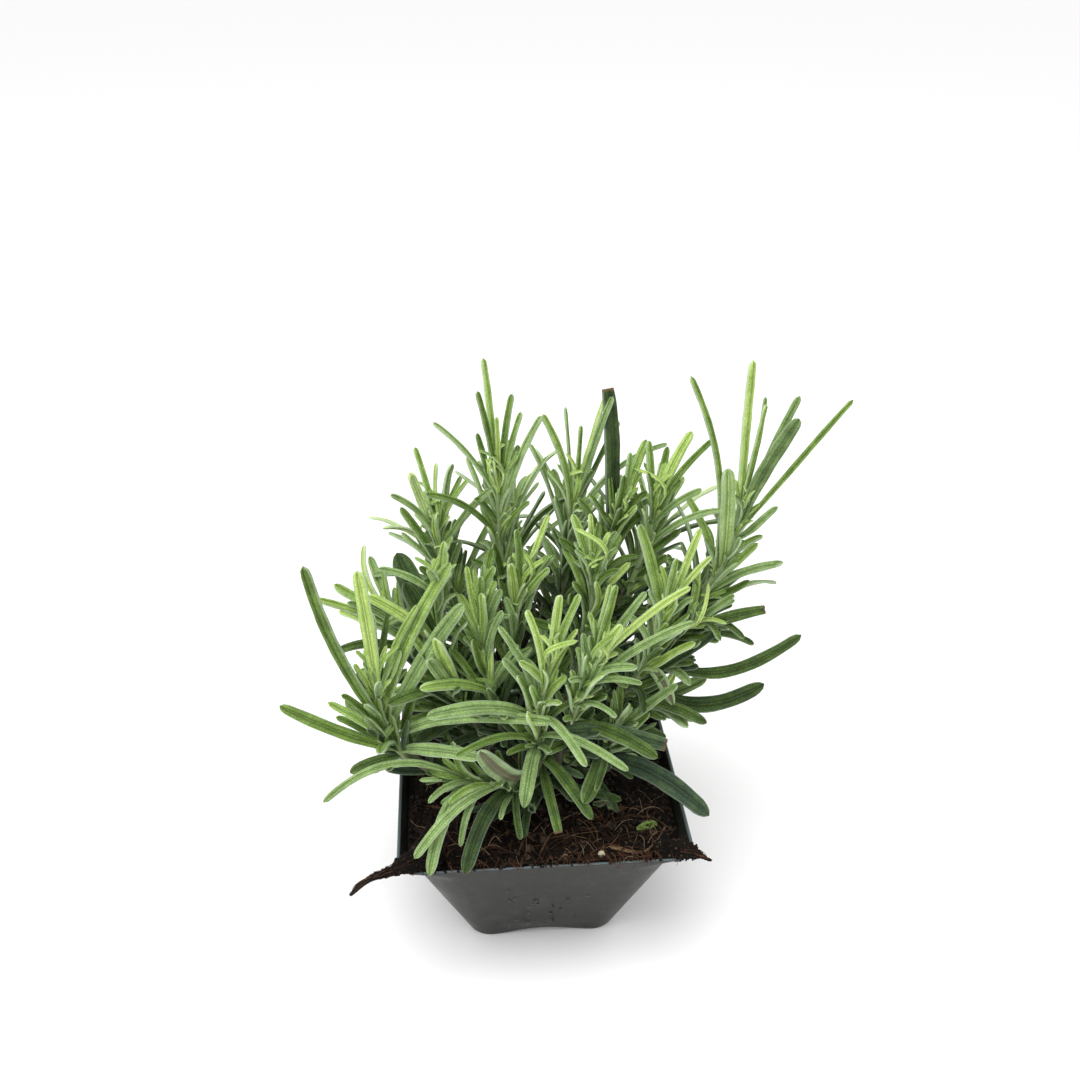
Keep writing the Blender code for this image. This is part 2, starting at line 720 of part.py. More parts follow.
def buildSoil(material):
    gap = potWall + soilGap
    sides = [squareRing(*potSection(z, gap), lambda along, z=z: z) for z in (soilBottom + 3, 34, 36.5)]
    bottom = squareRing(potSection(soilBottom, gap)[0] - 1.5, baseCorner, lambda along: soilBottom)
    half, corner = potSection(soilLevel - 1, gap)
    tops = []
    for share in (1.0, 0.85, 0.65, 0.45, 0.25):
        ring = squareRing(half * share, max(corner * share, 1.0), lambda along: 0)
        for point in ring:
            point.z = soilHeight(point.x, point.y) - (0.8 if share == 1.0 else 0)
        tops.append(ring)
    soil = solid("soil", loft([bottom, *sides, *tops]), material)
    sockets = helperGroup("socket_cutter")
    solid("socket_cutter_crown", crownShape(socketGap), material, sockets)
    combine(soil, sockets, "DIFFERENCE")
    return soil


def buildShoots(lines, leaves, materials):
    for name, line in lines.items():
        shoot = solid(name, shootShape(line), materials["stem"])
        group = helperGroup("leaves_" + name)
        for leaf in leaves:
            if leaf["node"] == name:
                solid("leaf_of_" + name, leafShape(leaf), materials["leaf"], group)
        combine(shoot, group, "UNION")
    for leaf in leaves:
        if leaf["node"] != leaf["shoot"]:
            solid(leaf["node"], leafShape(leaf), materials["leaf"])


# Loose pieces: the routes of roots, where a height of None lies on the soil, and their end radii.
looseGap = 0.5
strands = {
    "root_left": (
        ((-31, -21, None), (-35, -30, 42), (-40.6, -40.6, 44.2), (-47, -42, 42), (-52, -42, 39)), (0.9, 0.3)
    ),
    "root_right": (((33, -31, None), (37, -35, 42.2), (40.4, -39.6, 43.9), (43, -41, 43.4)), (0.35, 0.2)),
    "root_fibre": (((18, -31, None), (26, -33, None), (31, -29, None), (34, -24, None)), (0.35, 0.25)),
}
flatLeaves = {
    "fallen_leaf": ((26, -24), (32, -22.5), 2.2),
    "leaf_scrap": ((15, -13), (22, -14), 2.6),
}
grainPlace = (15, -34)
grainRadius = 1.0
grainSink = 0.5


def onSoil(x, y, rise):
    return Vector((x, y, soilHeight(x, y) + looseGap + rise))


def flatLeaf(start, end, width):
    """A shed leaf that lies on the soil."""
    base = onSoil(*start, leafThickness / 2)
    tip = onSoil(*end, leafThickness / 2)
    way = (tip - base).normalized()
    return {"along": Vector((0, 0, 1)), "outward": way, "width": width, "at": leafLine(base, tip, way, 0.3)}


def buildLoose(materials):
    for name, (route, radii) in strands.items():
        line = [onSoil(x, y, radii[0]) if z is None else Vector((x, y, z)) for x, y, z in route]
        solid(name, tubeShape(line, radii, 9, 6), materials["root"])
    for name, (start, end, width) in flatLeaves.items():
        solid(name, leafShape(flatLeaf(start, end, width)), materials["leaf"])
    sheet = bmesh.new()
    place = Matrix.Translation(onSoil(*grainPlace, grainRadius - grainSink) * mm)
    bmesh.ops.create_icosphere(sheet, subdivisions=2, radius=grainRadius * mm, matrix=place)
    mesh = bpy.data.meshes.new("grain")
    sheet.to_mesh(mesh)
    sheet.free()
    mesh.materials.append(materials["grain"])
    bpy.context.scene.collection.objects.link(bpy.data.objects.new("grain", mesh))


def main():
    for thing in list(bpy.data.objects):
        bpy.data.objects.remove(thing)
    materials = {
        "pot": plainMaterial("pot", (0.075, 0.075, 0.07), 0.45),
        "soil": plainMaterial("soil", (0.035, 0.022, 0.015), 0.95),
        "wood": plainMaterial("wood", (0.14, 0.10, 0.06), 0.8),
        "stem": plainMaterial("stem", (0.22, 0.28, 0.12), 0.7),
        "leaf": plainMaterial("leaf", (0.16, 0.28, 0.10), 0.65),
        "root": plainMaterial("root", (0.10, 0.06, 0.035), 0.8),
        "grain": plainMaterial("grain", (0.75, 0.68, 0.5), 0.6),
    }
    buildPot(materials["pot"])
    buildSoil(materials["soil"])
    solid("crown", crownShape(), materials["wood"])
    lines, leaves = plantPlan()
    buildShoots(lines, leaves, materials)
    buildLoose(materials)
    print("leaves", len(leaves))


main()
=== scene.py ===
# A young lavender in a square nursery pot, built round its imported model. Plant tables are in millimetres.
import math
import random

import bmesh
import bpy
import numpy as np
from mathutils import Matrix, Vector, noise
from mathutils.bvhtree import BVHTree


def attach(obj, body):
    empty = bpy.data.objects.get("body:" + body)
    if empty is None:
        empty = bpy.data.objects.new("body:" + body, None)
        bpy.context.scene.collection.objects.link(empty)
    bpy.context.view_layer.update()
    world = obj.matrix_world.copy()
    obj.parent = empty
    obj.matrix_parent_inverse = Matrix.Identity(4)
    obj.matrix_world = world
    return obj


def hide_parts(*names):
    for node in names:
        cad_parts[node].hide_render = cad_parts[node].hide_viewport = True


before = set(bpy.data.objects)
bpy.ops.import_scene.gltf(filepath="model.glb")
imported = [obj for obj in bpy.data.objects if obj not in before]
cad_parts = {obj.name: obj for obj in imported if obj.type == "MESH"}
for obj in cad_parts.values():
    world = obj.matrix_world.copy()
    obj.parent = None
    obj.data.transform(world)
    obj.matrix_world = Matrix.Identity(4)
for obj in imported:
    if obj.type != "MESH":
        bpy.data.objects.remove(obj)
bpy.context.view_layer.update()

mm = 0.001
everything = "root"
print("frame loaded:", len(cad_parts), "nodes")

# The camera looks down on the plant from the front, a little from the left.
camera = {"place": (-0.0206, -0.2826, 0.2755), "tilt": 61.14, "turn": -4.36, "lens": 41.2}


def addCamera():
    lens = bpy.data.cameras.new("camera")
    lens.lens = camera["lens"]
    lens.sensor_width = 36.0
    lens.clip_start = 0.01
    lens.clip_end = 20.0
    eye = bpy.data.objects.new("camera", lens)
    eye.location = camera["place"]
    eye.rotation_euler = (math.radians(camera["tilt"]), 0, math.radians(camera["turn"]))
    bpy.context.scene.collection.objects.link(eye)
    bpy.context.scene.camera = eye


addCamera()
print("camera placed")

# Pot and soil sizes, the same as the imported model's.
potSizes = {
    "height": 43.0, "rimHalf": 40.0, "baseHalf": 21.5, "wall": 0.9, "rimCorner": 4.0, "shoulderCorner": 15.0,
    "baseCorner": 7.0, "shoulderDepth": 0.12, "footArch": 1.8, "footInset": 6.0, "floor": 1.2,
    "drainRadius": 2.5, "drainPlace": 9.0,
}
soilSizes = {"level": 39.4, "bump": 0.9, "gap": 0.3, "bottom": 3.4}

crown = Vector((3.0, 3.0, 41.5))
crownProfile = ((-10.0, 2.6), (-2.5, 3.9), (1.0, 4.4), (3.2, 3.5), (4.4, 1.6))
crownSides = 10
crownReach = 5.7
shootRadii = (1.6, 0.6)
shootSides = 5
woodySpans = 2
forkGap = 0.3
seatGap = 0.75
leafStations = (0.0, 0.3, 0.72, 1.0)
leafWidths = (0.32, 0.92, 0.95, 0.0)
leafThickness = 0.7
leafClearance = 0.22

# A shoot forks from the crown, or from another shoot at a share of its woody part. "low" is how many pairs of
# older leaves its lower half has, and their length and width.
# A leaf is (place along the stem, tip, width, lift of the leaf's middle, own node or None, look).
shoots = {
    "shoot_left": {
        "fork": None,
        "stem": ((-35, -11, 58), (-40, -12, 65), (-43, -11, 75), (-43, -10, 84)),
        "leaves": (
            (0.30, (-60, -14, 121), 3.8, 0, None, "deep"),
            (0.75, (-46, -12, 119), 3.6, 0, None, "new"),
            (0.70, (-44, -5, 102), 2.4, 0, None, "fresh"),
            (0.85, (-40, -3, 100), 1.7, 0, None, "old"),
            (0.60, (-23, -8, 118), 3.8, -2, None, "fresh"),
            (0.80, (-30, -10, 106), 1.9, 0, None, "fresh"),
            (0.45, (-20, -17, 111), 4.1, -3, None, "grey"),
            (0.20, (-69, -14, 80), 3.2, -6, None, "olive"),
            (0.25, (-53, -3, 73), 2.9, -3, None, "grey"),
            (0.10, (-46, -14, 56), 1.8, 0, None, "olive"),
            (0.15, (-17, -33, 75), 3.3, 0, None, "grey"),
            (0.35, (2, -29, 82), 3.1, 2, "leaf_crossing", "grey"),
        ),
        "low": (2, 20, 3.0),
    },
    "shoot_mid_left": {
        "fork": ("shoot_left", 0.25),
        "stem": ((-17, -7, 66), (-22, -9, 78), (-26, -6, 92), (-26, -2, 106)),
        "leaves": (
            (0.20, (-29, -19, 96), 3.1, 0, None, "grey"),
            (0.30, (-28, -23, 102), 3.9, 0, None, "lime"),
            (0.50, (-35, 0, 108), 4.0, 0, None, "dark"),
            (0.55, (-37, 9, 112), 6.2, 0, "leaf_broad_left", "dark"),
            (0.65, (-42, 2, 107), 3.0, 0, None, "new"),
            (0.95, (-41, -6, 116), 1.8, 1, None, "grey"),
            (0.98, (-24, -4, 122), 2.2, 0, None, "fresh"),
        ),
        "low": (3, 22, 3.2),
    },
    "shoot_inner_left": {
        "fork": ("shoot_front", 0.50),
        "stem": ((-9, -9, 62), (-13, -11, 78), (-15, -8, 92), (-15, -4, 102)),
        "leaves": (
            (0.80, (-14, 1, 112), 1.8, 0, None, "grey"),
            (0.75, (-15, -9, 114), 2.0, 0, None, "olive"),
            (0.95, (-12, 5, 115), 3.0, 0, None, "olive"),
            (0.70, (-8, -14, 105), 1.5, 3, None, "grey"),
            (0.50, (-10, -18, 109), 2.0, 0, None, "grey"),
            (0.55, (-22, -14, 108), 2.2, 0, None, "olive"),
        ),
        "low": (3, 20, 2.6),
    },
    "shoot_back_left": {
        "fork": ("shoot_back_tall", 0.25),
        "stem": ((-14, 12, 74), (-20, 15, 88), (-25, 17, 102), (-26, 18, 114)),
        "leaves": (
            (0.95, (-31, 22, 137), 1.7, 0, None, "fresh"),
            (0.98, (-26, 18, 134), 1.5, 0, None, "new"),
            (0.90, (-38, 14, 127), 1.7, 2, None, "grey"),
            (0.85, (-19, 24, 127), 1.7, 0, None, "olive"),
            (0.95, (-17, 18, 129), 1.4, 0, None, "fresh"),
            (0.75, (-11, 14, 128), 2.2, 0, None, "grey"),
            (0.60, (-36, 24, 118), 2.4, 0, None, "olive"),
        ),
        "low": (3, 22, 3.0),
    },
    "shoot_back_tall": {
        "fork": None,
        "stem": ((-4, 11, 72), (-7, 15, 90), (-9, 18, 108), (-9, 19, 126)),
        "leaves": (
            (0.95, (-12, 24, 161), 2.1, 0, None, "fresh"),
            (0.98, (-14, 16, 155), 1.9, 0, None, "deep"),
            (0.85, (-5, 26, 150), 2.1, 0, None, "olive"),
            (0.80, (-3, 18, 148), 1.9, 0, None, "olive"),
            (0.96, (-9, 21, 146), 1.3, 0, None, "new"),
            (0.92, (-26, 22, 144), 1.7, 2, None, "grey"),
            (0.70, (-28, 10, 134), 1.9, 3, None, "olive"),
            (0.75, (-14, 28, 138), 1.9, 0, None, "deep"),
            (0.55, (-17, 32, 129), 2.6, 0, None, "fresh"),
            (0.75, (2, 15, 148), 2.1, 0, None, "grey"),
            (0.65, (-1, 11, 125), 1.4, 2, None, "olive"),
            (0.50, (5, 26, 131), 1.4, 3, None, "grey"),
        ),
        "low": (4, 24, 2.8),
    },
    "shoot_back_centre": {
        "fork": ("shoot_back_tall", 0.25),
        "stem": ((6, 13, 76), (8, 17, 92), (10, 19, 108), (12, 20, 120)),
        "leaves": (
            (0.85, (3, 16, 148), 2.3, 0, None, "fresh"),
            (0.80, (10, 30, 144), 1.4, 0, None, "olive"),
            (0.98, (14, 24, 141), 1.3, 0, None, "olive"),
            (0.90, (19, 20, 150), 2.3, 0, None, "new"),
            (0.95, (23, 14, 152), 1.9, 0, None, "grey"),
            (0.85, (24, 24, 142), 1.7, 0, None, "deep"),
            (0.75, (37, 20, 137), 1.5, 6, None, "grey"),
            (0.60, (0, 28, 134), 2.2, 0, None, "olive"),
        ),
        "low": (4, 22, 2.8),
    },
    "shoot_mid_right": {
        "fork": ("shoot_back_right", 0.50),
        "stem": ((14, 9, 84), (18, 11, 98), (21, 12, 110), (23, 12, 120)),
        "leaves": (
            (0.80, (20, 15, 131), 1.7, 0, None, "olive"),
            (0.85, (24, 8, 133), 2.0, 0, None, "deep"),
            (0.95, (31, 18, 139), 2.3, 0, None, "fresh"),
            (0.98, (26, 12, 138), 1.6, 0, None, "grey"),
            (0.70, (29, 24, 130), 1.4, 4, None, "deep"),
            (0.60, (12, 10, 126), 2.0, 0, None, "olive"),
            (0.72, (21, 20, 153), 4.4, 0, "leaf_broad_back", "dark"),
        ),
        "low": (3, 22, 2.8),
    },
    "shoot_centre": {
        "fork": ("shoot_right_front", 0.50),
        "stem": ((9, -1, 72), (12, -2, 88), (15, -2, 102), (15, -1, 110)),
        "leaves": (
            (0.80, (10, 3, 125), 2.6, 0, None, "fresh"),
            (0.90, (21, 0, 121), 2.1, 0, None, "grey"),
            (0.98, (14, -1, 127), 1.5, 0, None, "new"),
            (0.85, (17, -8, 117), 1.7, 0, None, "olive"),
        ),
        "low": (4, 20, 2.6),
    },
    "shoot_centre_left": {
        "fork": ("shoot_back_tall", 0.50),
        "stem": ((-3, -1, 66), (-6, -2, 80), (-6, -1, 94), (-4, 2, 104)),
        "leaves": (
            (0.90, (-5, 1, 122), 2.0, 0, None, "olive"),
            (0.70, (-7, -5, 115), 2.6, 0, None, "new"),
            (0.95, (4, 9, 122), 1.7, 0, None, "new"),
            (0.80, (3, -6, 114), 2.0, 0, None, "fresh"),
        ),
        "low": (4, 20, 2.6),
    },
    "shoot_back_right": {
        "fork": None,
        "stem": ((20, 9, 80), (27, 12, 96), (32, 14, 110), (33, 14, 120)),
        "leaves": (
            (0.95, (42, 13, 143), 2.6, 0, None, "new"),
            (0.90, (47, 10, 142), 1.7, 0, None, "olive"),
            (0.80, (44, 5, 130), 1.9, 0, None, "grey"),
            (0.60, (49, 1, 126), 2.0, 2, None, "grey"),
            (0.98, (31, 15, 140), 2.3, 0, None, "fresh"),
            (0.75, (38, 24, 134), 2.0, 0, None, "olive"),
            (0.70, (26, 20, 128), 1.8, 0, None, "olive"),
        ),
        "low": (4, 22, 2.8),
    },
    "shoot_right_tall": {
        "fork": ("shoot_back_right", 0.50),
        "stem": ((36, 5, 80), (44, 4, 93), (52, 4, 110), (55, 5, 123)),
        "leaves": (
            (0.52, (40, 2, 163), 2.0, 0, None, "olive"),
            (0.95, (55, 7, 165), 2.7, 0, None, "new"),
            (0.97, (61, 11, 153), 1.3, 0, None, "olive"),
            (0.98, (59, 4, 154), 1.3, 0, None, "fresh"),
            (0.90, (69, 9, 154), 2.1, 0, None, "grey"),
            (0.85, (66, -2, 152), 3.6, 0, None, "slate"),
            (0.80, (80, 0, 156), 1.5, -4, None, "olive"),
            (0.60, (46, -12, 144), 4.0, -2, None, "back"),
            (0.40, (65, 0, 109), 1.9, 3, None, "grey"),
            (0.50, (58, 9, 112), 1.5, 2, None, "olive"),
            (0.55, (42, 14, 124), 2.2, 0, None, "fresh"),
        ),
        "low": (3, 20, 2.6),
    },
    "shoot_right": {
        "fork": ("shoot_right_front", 0.50),
        "stem": ((27, 3, 70), (33, 1, 78), (38, 0, 86), (41, -2, 92)),
        "leaves": (
            (0.40, (74, 0, 86), 3.2, -20, "leaf_right_long", "old"),
            (0.12, (64, -3, 72), 4.2, -20, "leaf_right_low", "dark"),
            (0.80, (64, 3, 93), 3.1, 0, "leaf_right_cut", "old"),
            (0.90, (52, -8, 105), 1.9, 0, None, "grey"),
            (0.95, (53, -5, 101), 1.4, 0, None, "grey"),
            (0.98, (44, 2, 108), 2.2, 0, None, "fresh"),
        ),
        "low": (2, 18, 2.8),
    },
    "shoot_right_front": {
        "fork": None,
        "stem": ((20, -3, 66), (27, -6, 78), (32, -6, 90), (34, -6, 101)),
        "leaves": (
            (0.85, (26, -6, 126), 3.3, 0, None, "fresh"),
            (0.80, (43, -2, 122), 2.0, 0, None, "new"),
            (0.95, (45, -8, 117), 1.6, 0, None, "new"),
            (0.90, (35, -12, 119), 2.0, 0, None, "fresh"),
            (0.35, (48, -12, 95), 2.0, -6, None, "dark"),
            (0.15, (46, -14, 68), 3.1, 0, None, "old"),
            (0.45, (36, -15, 75), 3.1, 2, "leaf_dead", "dead"),
        ),
        "low": (3, 18, 2.8),
    },
    "shoot_front": {
        "fork": None,
        "stem": ((1, -14, 54), (-1, -19, 66), (-1, -22, 80), (2, -22, 96)),
        "leaves": (
            (0.90, (9, -24, 117), 2.0, 0, None, "fresh"),
            (0.95, (4, -27, 119), 2.3, 0, None, "new"),
            (0.80, (-4, -26, 114), 2.0, 0, None, "new"),
            (0.70, (-11, -20, 106), 1.9, 0, None, "grey"),
            (0.65, (-10, -26, 100), 2.3, 0, None, "grey"),
            (0.60, (-29, -34, 88), 3.4, 2, None, "grey"),
            (0.62, (9, -44, 81), 2.3, 3, None, "grey"),
            (0.45, (20, -41, 75), 2.1, 3, None, "grey"),
            (0.40, (-23, -37, 79), 2.0, 3, None, "olive"),
            (0.20, (-17, -41, 84), 5.6, -18, "leaf_underside", "under"),
            (0.35, (-6, -36, 60), 3.6, 5, None, "grey"),
            (0.25, (12, -37, 56), 3.1, 2, None, "old"),
            (0.15, (3, -38, 53), 2.6, 1, "leaf_front_stub", "old"),
            (0.40, (32, -28, 72), 4.1, 3, "leaf_broad_front", "night"),
        ),
        "low": (0, 18, 2.8),
    },
    "shoot_front_right": {
        "fork": ("shoot_front", 0.50),
        "stem": ((6, -15, 62), (8, -19, 74), (10, -22, 86), (13, -23, 96)),
        "leaves": (
            (0.85, (19, -28, 110), 2.4, 0, None, "new"),
            (0.95, (26, -21, 115), 1.9, 0, None, "grey"),
            (0.90, (38, -18, 114), 1.9, 3, None, "new"),
            (0.60, (38, -25, 108), 2.1, 3, None, "grey"),
            (0.98, (18, -24, 119), 2.1, 0, None, "olive"),
            (0.80, (18, -15, 114), 1.7, 0, None, "fresh"),
            (0.70, (24, -32, 95), 1.6, 2, None, "grey"),
            (0.50, (17, -37, 89), 1.5, 2, None, "grey"),
            (0.30, (29, -33, 72), 3.6, 2, None, "old"),
            (0.75, (6, -32, 97), 1.6, 0, None, "grey"),
        ),
        "low": (1, 18, 2.6),
    },
    "shoot_front_low": {
        "fork": ("shoot_front", 0.25),
        "stem": ((-3, -14, 49), (-8, -20, 54), (-14, -23, 58), (-21, -22, 59)),
        "leaves": (
            (0.98, (-59, -24, 55), 2.0, 16, "leaf_left_arching", "grey"),
            (0.90, (-31, -43, 45), 3.4, 5, "leaf_over_rim_left", "grey"),
            (0.50, (-36, -41, 51), 2.6, 4, None, "grey"),
            (0.70, (-23, -37, 49), 1.8, 1, None, "grey"),
            (0.35, (-22, -43, 45), 3.9, 5, "leaf_over_rim", "dark"),
            (0.25, (-7, -39, 52), 1.8, 2, None, "old"),
        ),
        "low": (0, 18, 2.8),
    },
    "shoot_low_right": {
        "fork": ("shoot_right_front", 0.25),
        "stem": ((11, -6, 50), (16, -10, 55), (19, -13, 61), (20, -15, 67)),
        "leaves": (
            (0.30, (45, -28, 47), 5.2, 5, "leaf_big_dark", "night"),
            (0.50, (10, -35, 60), 4.4, 2, None, "old"),
            (0.60, (13, -35, 64), 1.8, 2, None, "old"),
            (0.90, (36, -18, 84), 2.4, 0, None, "grey"),
            (0.95, (22, -26, 84), 2.2, 0, None, "grey"),
        ),
        "low": (1, 18, 2.8),
    },
}

# Shoots away from the front, as (fork, start of the stem, end of the stem, pairs of leaves, leaf length,
# leaf width).
plainShoots = {
    "shoot_rear_left": (None, (-17, 26, 72), (-27, 36, 100), 7, 27, 2.6),
    "shoot_rear": (None, (-3, 30, 74), (-4, 42, 106), 7, 27, 2.6),
    "shoot_rear_mid": (("shoot_rear", 0.50), (12, 28, 72), (15, 42, 102), 7, 27, 2.8),
    "shoot_rear_right": (("shoot_back_right", 0.25), (26, 24, 72), (37, 36, 101), 7, 27, 2.6),
    "shoot_side_right": (("shoot_rear_right", 0.50), (38, 16, 70), (53, 22, 96), 6, 26, 2.8),
    "shoot_side_left": (("shoot_left", 0.25), (-26, 8, 66), (-40, 14, 88), 6, 26, 2.8),
    "shoot_low_rear": (("shoot_rear", 0.25), (8, 19, 50), (11, 31, 57), 4, 24, 3.4),
    "shoot_low_left": (("shoot_left", 0.25), (-14, 6, 50), (-27, 12, 60), 4, 24, 3.4),
    "shoot_low_side": (("shoot_right_front", 0.25), (19, 4, 50), (31, 8, 58), 4, 22, 3.4),
}


# Points and faces of a skin through rings of equal count, with a cap at each end.
def loft(rings):
    points = [point for ring in rings for point in ring]
    count = len(rings[0])
    faces = []
    for low in range(0, len(points) - count, count):
        for k in range(count):
            after = (k + 1) % count
            faces.append((low + k, low + after, low + count + after, low + count + k))
    faces.append(tuple(reversed(range(count))))
    faces.append(tuple(range(len(points) - count, len(points))))
    return points, faces


# Point and direction at a place from 0 to 1 on a curve through the points.
def smooth(points, place):
    spans = len(points) - 1
    here = min(max(place, 0.0), 1.0) * spans
    span = min(int(here), spans - 1)
    t = here - span
    b = Vector(points[span])
    c = Vector(points[span + 1])
    a = Vector(points[span - 1]) if span > 0 else 2 * b - c
    d = Vector(points[span + 2]) if span + 2 <= spans else 2 * c - b
    tangentB = (c - a) / 2
    tangentC = (d - b) / 2
    point = b * (2 * t**3 - 3 * t**2 + 1) + tangentB * (t**3 - 2 * t**2 + t)
    point += c * (3 * t**2 - 2 * t**3) + tangentC * (t**3 - t**2)
    way = b * (6 * t**2 - 6 * t) + tangentB * (3 * t**2 - 4 * t + 1)
    way += c * (6 * t - 6 * t**2) + tangentC * (3 * t**2 - 2 * t)
    return point, way.normalized()


# Two directions square to a stem's way, and one turned between them.
def sidesOf(way):
    side = way.cross(Vector((0, 1, 0))).normalized()
    return side, way.cross(side)


def outAt(side, front, turn):
    return side * math.cos(turn) + front * math.sin(turn)


# Function giving the point and direction of a leaf's middle line: it leaves along its stem and bends to
# its tip.
def leafLine(base, tip, along, lift):
    reach = (tip - base).length
    bend = base.lerp(tip, 0.5).lerp(base + along * reach * 0.5, 0.35) + Vector((0, 0, lift))

    def at(t):
        point = base * (1 - t) ** 2 + bend * 2 * t * (1 - t) + tip * t**2
        way = (bend - base) * (1 - t) + (tip - bend) * t
        return point, way.normalized()

    return at


# Unit vector out of the leaf's upper side, which looks to the stem and up.
def leafFace(along, outward, way):
    face = along - outward * 0.5 + Vector((0, 0, 0.35))
    face -= way * face.dot(way)
    return face.normalized()


# Points and faces of one plain leaf: rings of four points and a tip.
def leafShape(leaf, extra=0.0):
    points = []
    for station, share in zip(leafStations[:-1], leafWidths):
        middle, way = leaf["at"](station)
        face = leafFace(leaf["along"], leaf["outward"], way)
        side = way.cross(face)
        half = leaf["width"] * share / 2 + extra
        thick = leafThickness / 2 + extra
        points += [middle + side * half, middle + face * thick, middle - side * half, middle - face * thick]
    tip, way = leaf["at"](1.0)
    points.append(tip + way * extra)
    faces = [(3, 2, 1, 0)]
    last = len(points) - 5
    for ring in range(0, last, 4):
        for corner in range(4):
            after = (corner + 1) % 4
            faces.append((ring + corner, ring + after, ring + 4 + after, ring + 4 + corner))
    for corner in range(4):
        faces.append((last + corner, last + (corner + 1) % 4, len(points) - 1))
    return points, faces


# Points and faces of a tapering round stem along a smooth curve, closed at both ends.
def tubeShape(points, radii, rings, sides):
    skin = []
    for ring in range(rings):
        place = ring / (rings - 1)
        middle, way = smooth(points, place)
        side, front = sidesOf(way)
        radius = radii[0] + (radii[1] - radii[0]) * place
        for k in range(sides):
            skin.append(middle + outAt(side, front, 2 * math.pi * k / sides) * radius)
    return loft([skin[k:k + sides] for k in range(0, len(skin), sides)])


def shootShape(line, extra=0.0):
    radii = (shootRadii[0] + extra, shootRadii[1] + extra)
    return tubeShape(line, radii, 2 * len(line) - 1, shootSides)


def crownShape():
    rings = []
    for height, radius in crownProfile:
        ring = []
        for k in range(crownSides):
            turn = 2 * math.pi * k / crownSides
            flat = Vector((math.cos(turn), math.sin(turn), 0)) * radius
            ring.append(crown + flat + Vector((0, 0, height)))
        rings.append(ring)
    return loft(rings)


# A placed piece: its faces to test against, and those past its first rings, which lie clear of its own stem.
def pieceOf(node, shape, ringsInside=0):
    points, faces = shape
    inside = ringsInside * 4
    free = [face for face in faces if min(face) >= inside]
    low = [min(point[axis] for point in points) for axis in range(3)]
    high = [max(point[axis] for point in points) for axis in range(3)]
    return {"node": node, "low": low, "high": high, "whole": BVHTree.FromPolygons(points, faces),
            "free": BVHTree.FromPolygons(points, free) if inside else None}


# True where no point is in the soil, the rim or the wall.
def clearOfPot(points):
    for point in points:
        reach = max(abs(point.x), abs(point.y))
        if reach < potSizes["rimHalf"] + 1.5 and point.z < potSizes["height"] + 0.6:
            if reach > potSizes["rimHalf"] - 2.5 or point.z < soilSizes["level"] + 2.5:
                return False
    return True


# True if a piece runs into another node, or a leaf's free part into that of a leaf on the same shoot.
def meets(mine, placed):
    for other in placed:
        if any(mine["low"][k] > other["high"][k] or other["low"][k] > mine["high"][k] for k in range(3)):
            continue
        if other["node"] != mine["node"]:
            if mine["whole"].overlap(other["whole"]):
                return True
        elif mine["free"] and other["free"] and mine["free"].overlap(other["free"]):
            return True
    return False


# Degrees by which a leaf is turned and tilted, and shares of its length, tried in this order.
leafTries = ((0, 0), (4, 0), (-4, 0), (0, 4), (0, -4), (8, 0), (-8, 0), (0, 8), (0, -8),
             (11, 7), (-11, 7), (11, -7), (-11, -7), (17, 0), (-17, 0), (0, 15), (0, -15))
lengthTries = (1.0, 0.85, 0.7)


# Turns a leaf a little about its base, or shortens it, until it is clear of the other nodes.
def settle(leaf, placed):
    reach = leaf["tip"] - leaf["base"]
    for share in lengthTries:
        for turn, tilt in leafTries:
            level = Vector((0, 0, 1)).cross(reach)
            move = Matrix.Rotation(math.radians(turn), 3, "Z")
            if level.length > 0.1:
                move = move @ Matrix.Rotation(math.radians(tilt), 3, level)
            tip = leaf["base"] + move @ reach * share
            leaf["at"] = leafLine(leaf["base"], tip, leaf["along"], leaf["lift"])
            shape = leafShape(leaf, leafClearance)
            if clearOfPot(shape[0]) and not meets(pieceOf(leaf["node"], shape, 1), placed):
                leaf["tip"] = tip
                return True
    return False


# Place on a shoot's whole line that is this far up its stem, past the woody part.
def stemPlace(line, place):
    spans = len(line) - 1
    return (woodySpans + place * (spans - woodySpans)) / spans


def radiusAt(place):
    return shootRadii[0] + (shootRadii[1] - shootRadii[0]) * place


# A leaf that grows from a place on a stem; one with its own node starts clear of the stem.
def leafAt(name, line, place, tip, width, lift, own, look):
    where = stemPlace(line, place)
    middle, along = smooth(line, where)
    outward = tip - middle
    outward -= along * outward.dot(along)
    outward.normalize()
    base = middle + outward * (radiusAt(where) + seatGap if own else radiusAt(where) * 0.1)
    return {"node": own or name, "base": base, "tip": tip, "along": along, "outward": outward,
            "width": width, "lift": lift, "shoot": name, "place": place, "look": look}


lowerSpread = 62  # degrees between a lower leaf and its stem


# Older leaves in crossed pairs on the lower half of a stem.
def lowerLeaves(name, line, low, chance):
    count, length, width = low
    leaves = []
    for pair in range(count):
        place = 0.08 + 0.42 * pair / max(count, 1)
        turn = chance.uniform(0, math.pi / 4) + math.pi / 2 * (pair % 2)
        leaves += leafPair(name, line, place, turn, length, width, lowerSpread, chance)
    return leaves


# Two opposite leaves at one place on a stem.
def leafPair(name, line, place, turn, length, width, spread, chance):
    middle, along = smooth(line, stemPlace(line, place))
    side, front = sidesOf(along)
    pair = []
    for half in (0, math.pi):
        around = turn + half + chance.uniform(-0.25, 0.25)
        out = outAt(side, front, around)
        lean = math.radians(spread * chance.uniform(0.8, 1.15))
        reach = length * chance.uniform(0.8, 1.12)
        tip = middle + (along * math.cos(lean) + out * math.sin(lean)) * reach
        pair.append(leafAt(name, line, place, tip, width * chance.uniform(0.85, 1.15), 0, None, None))
    return pair


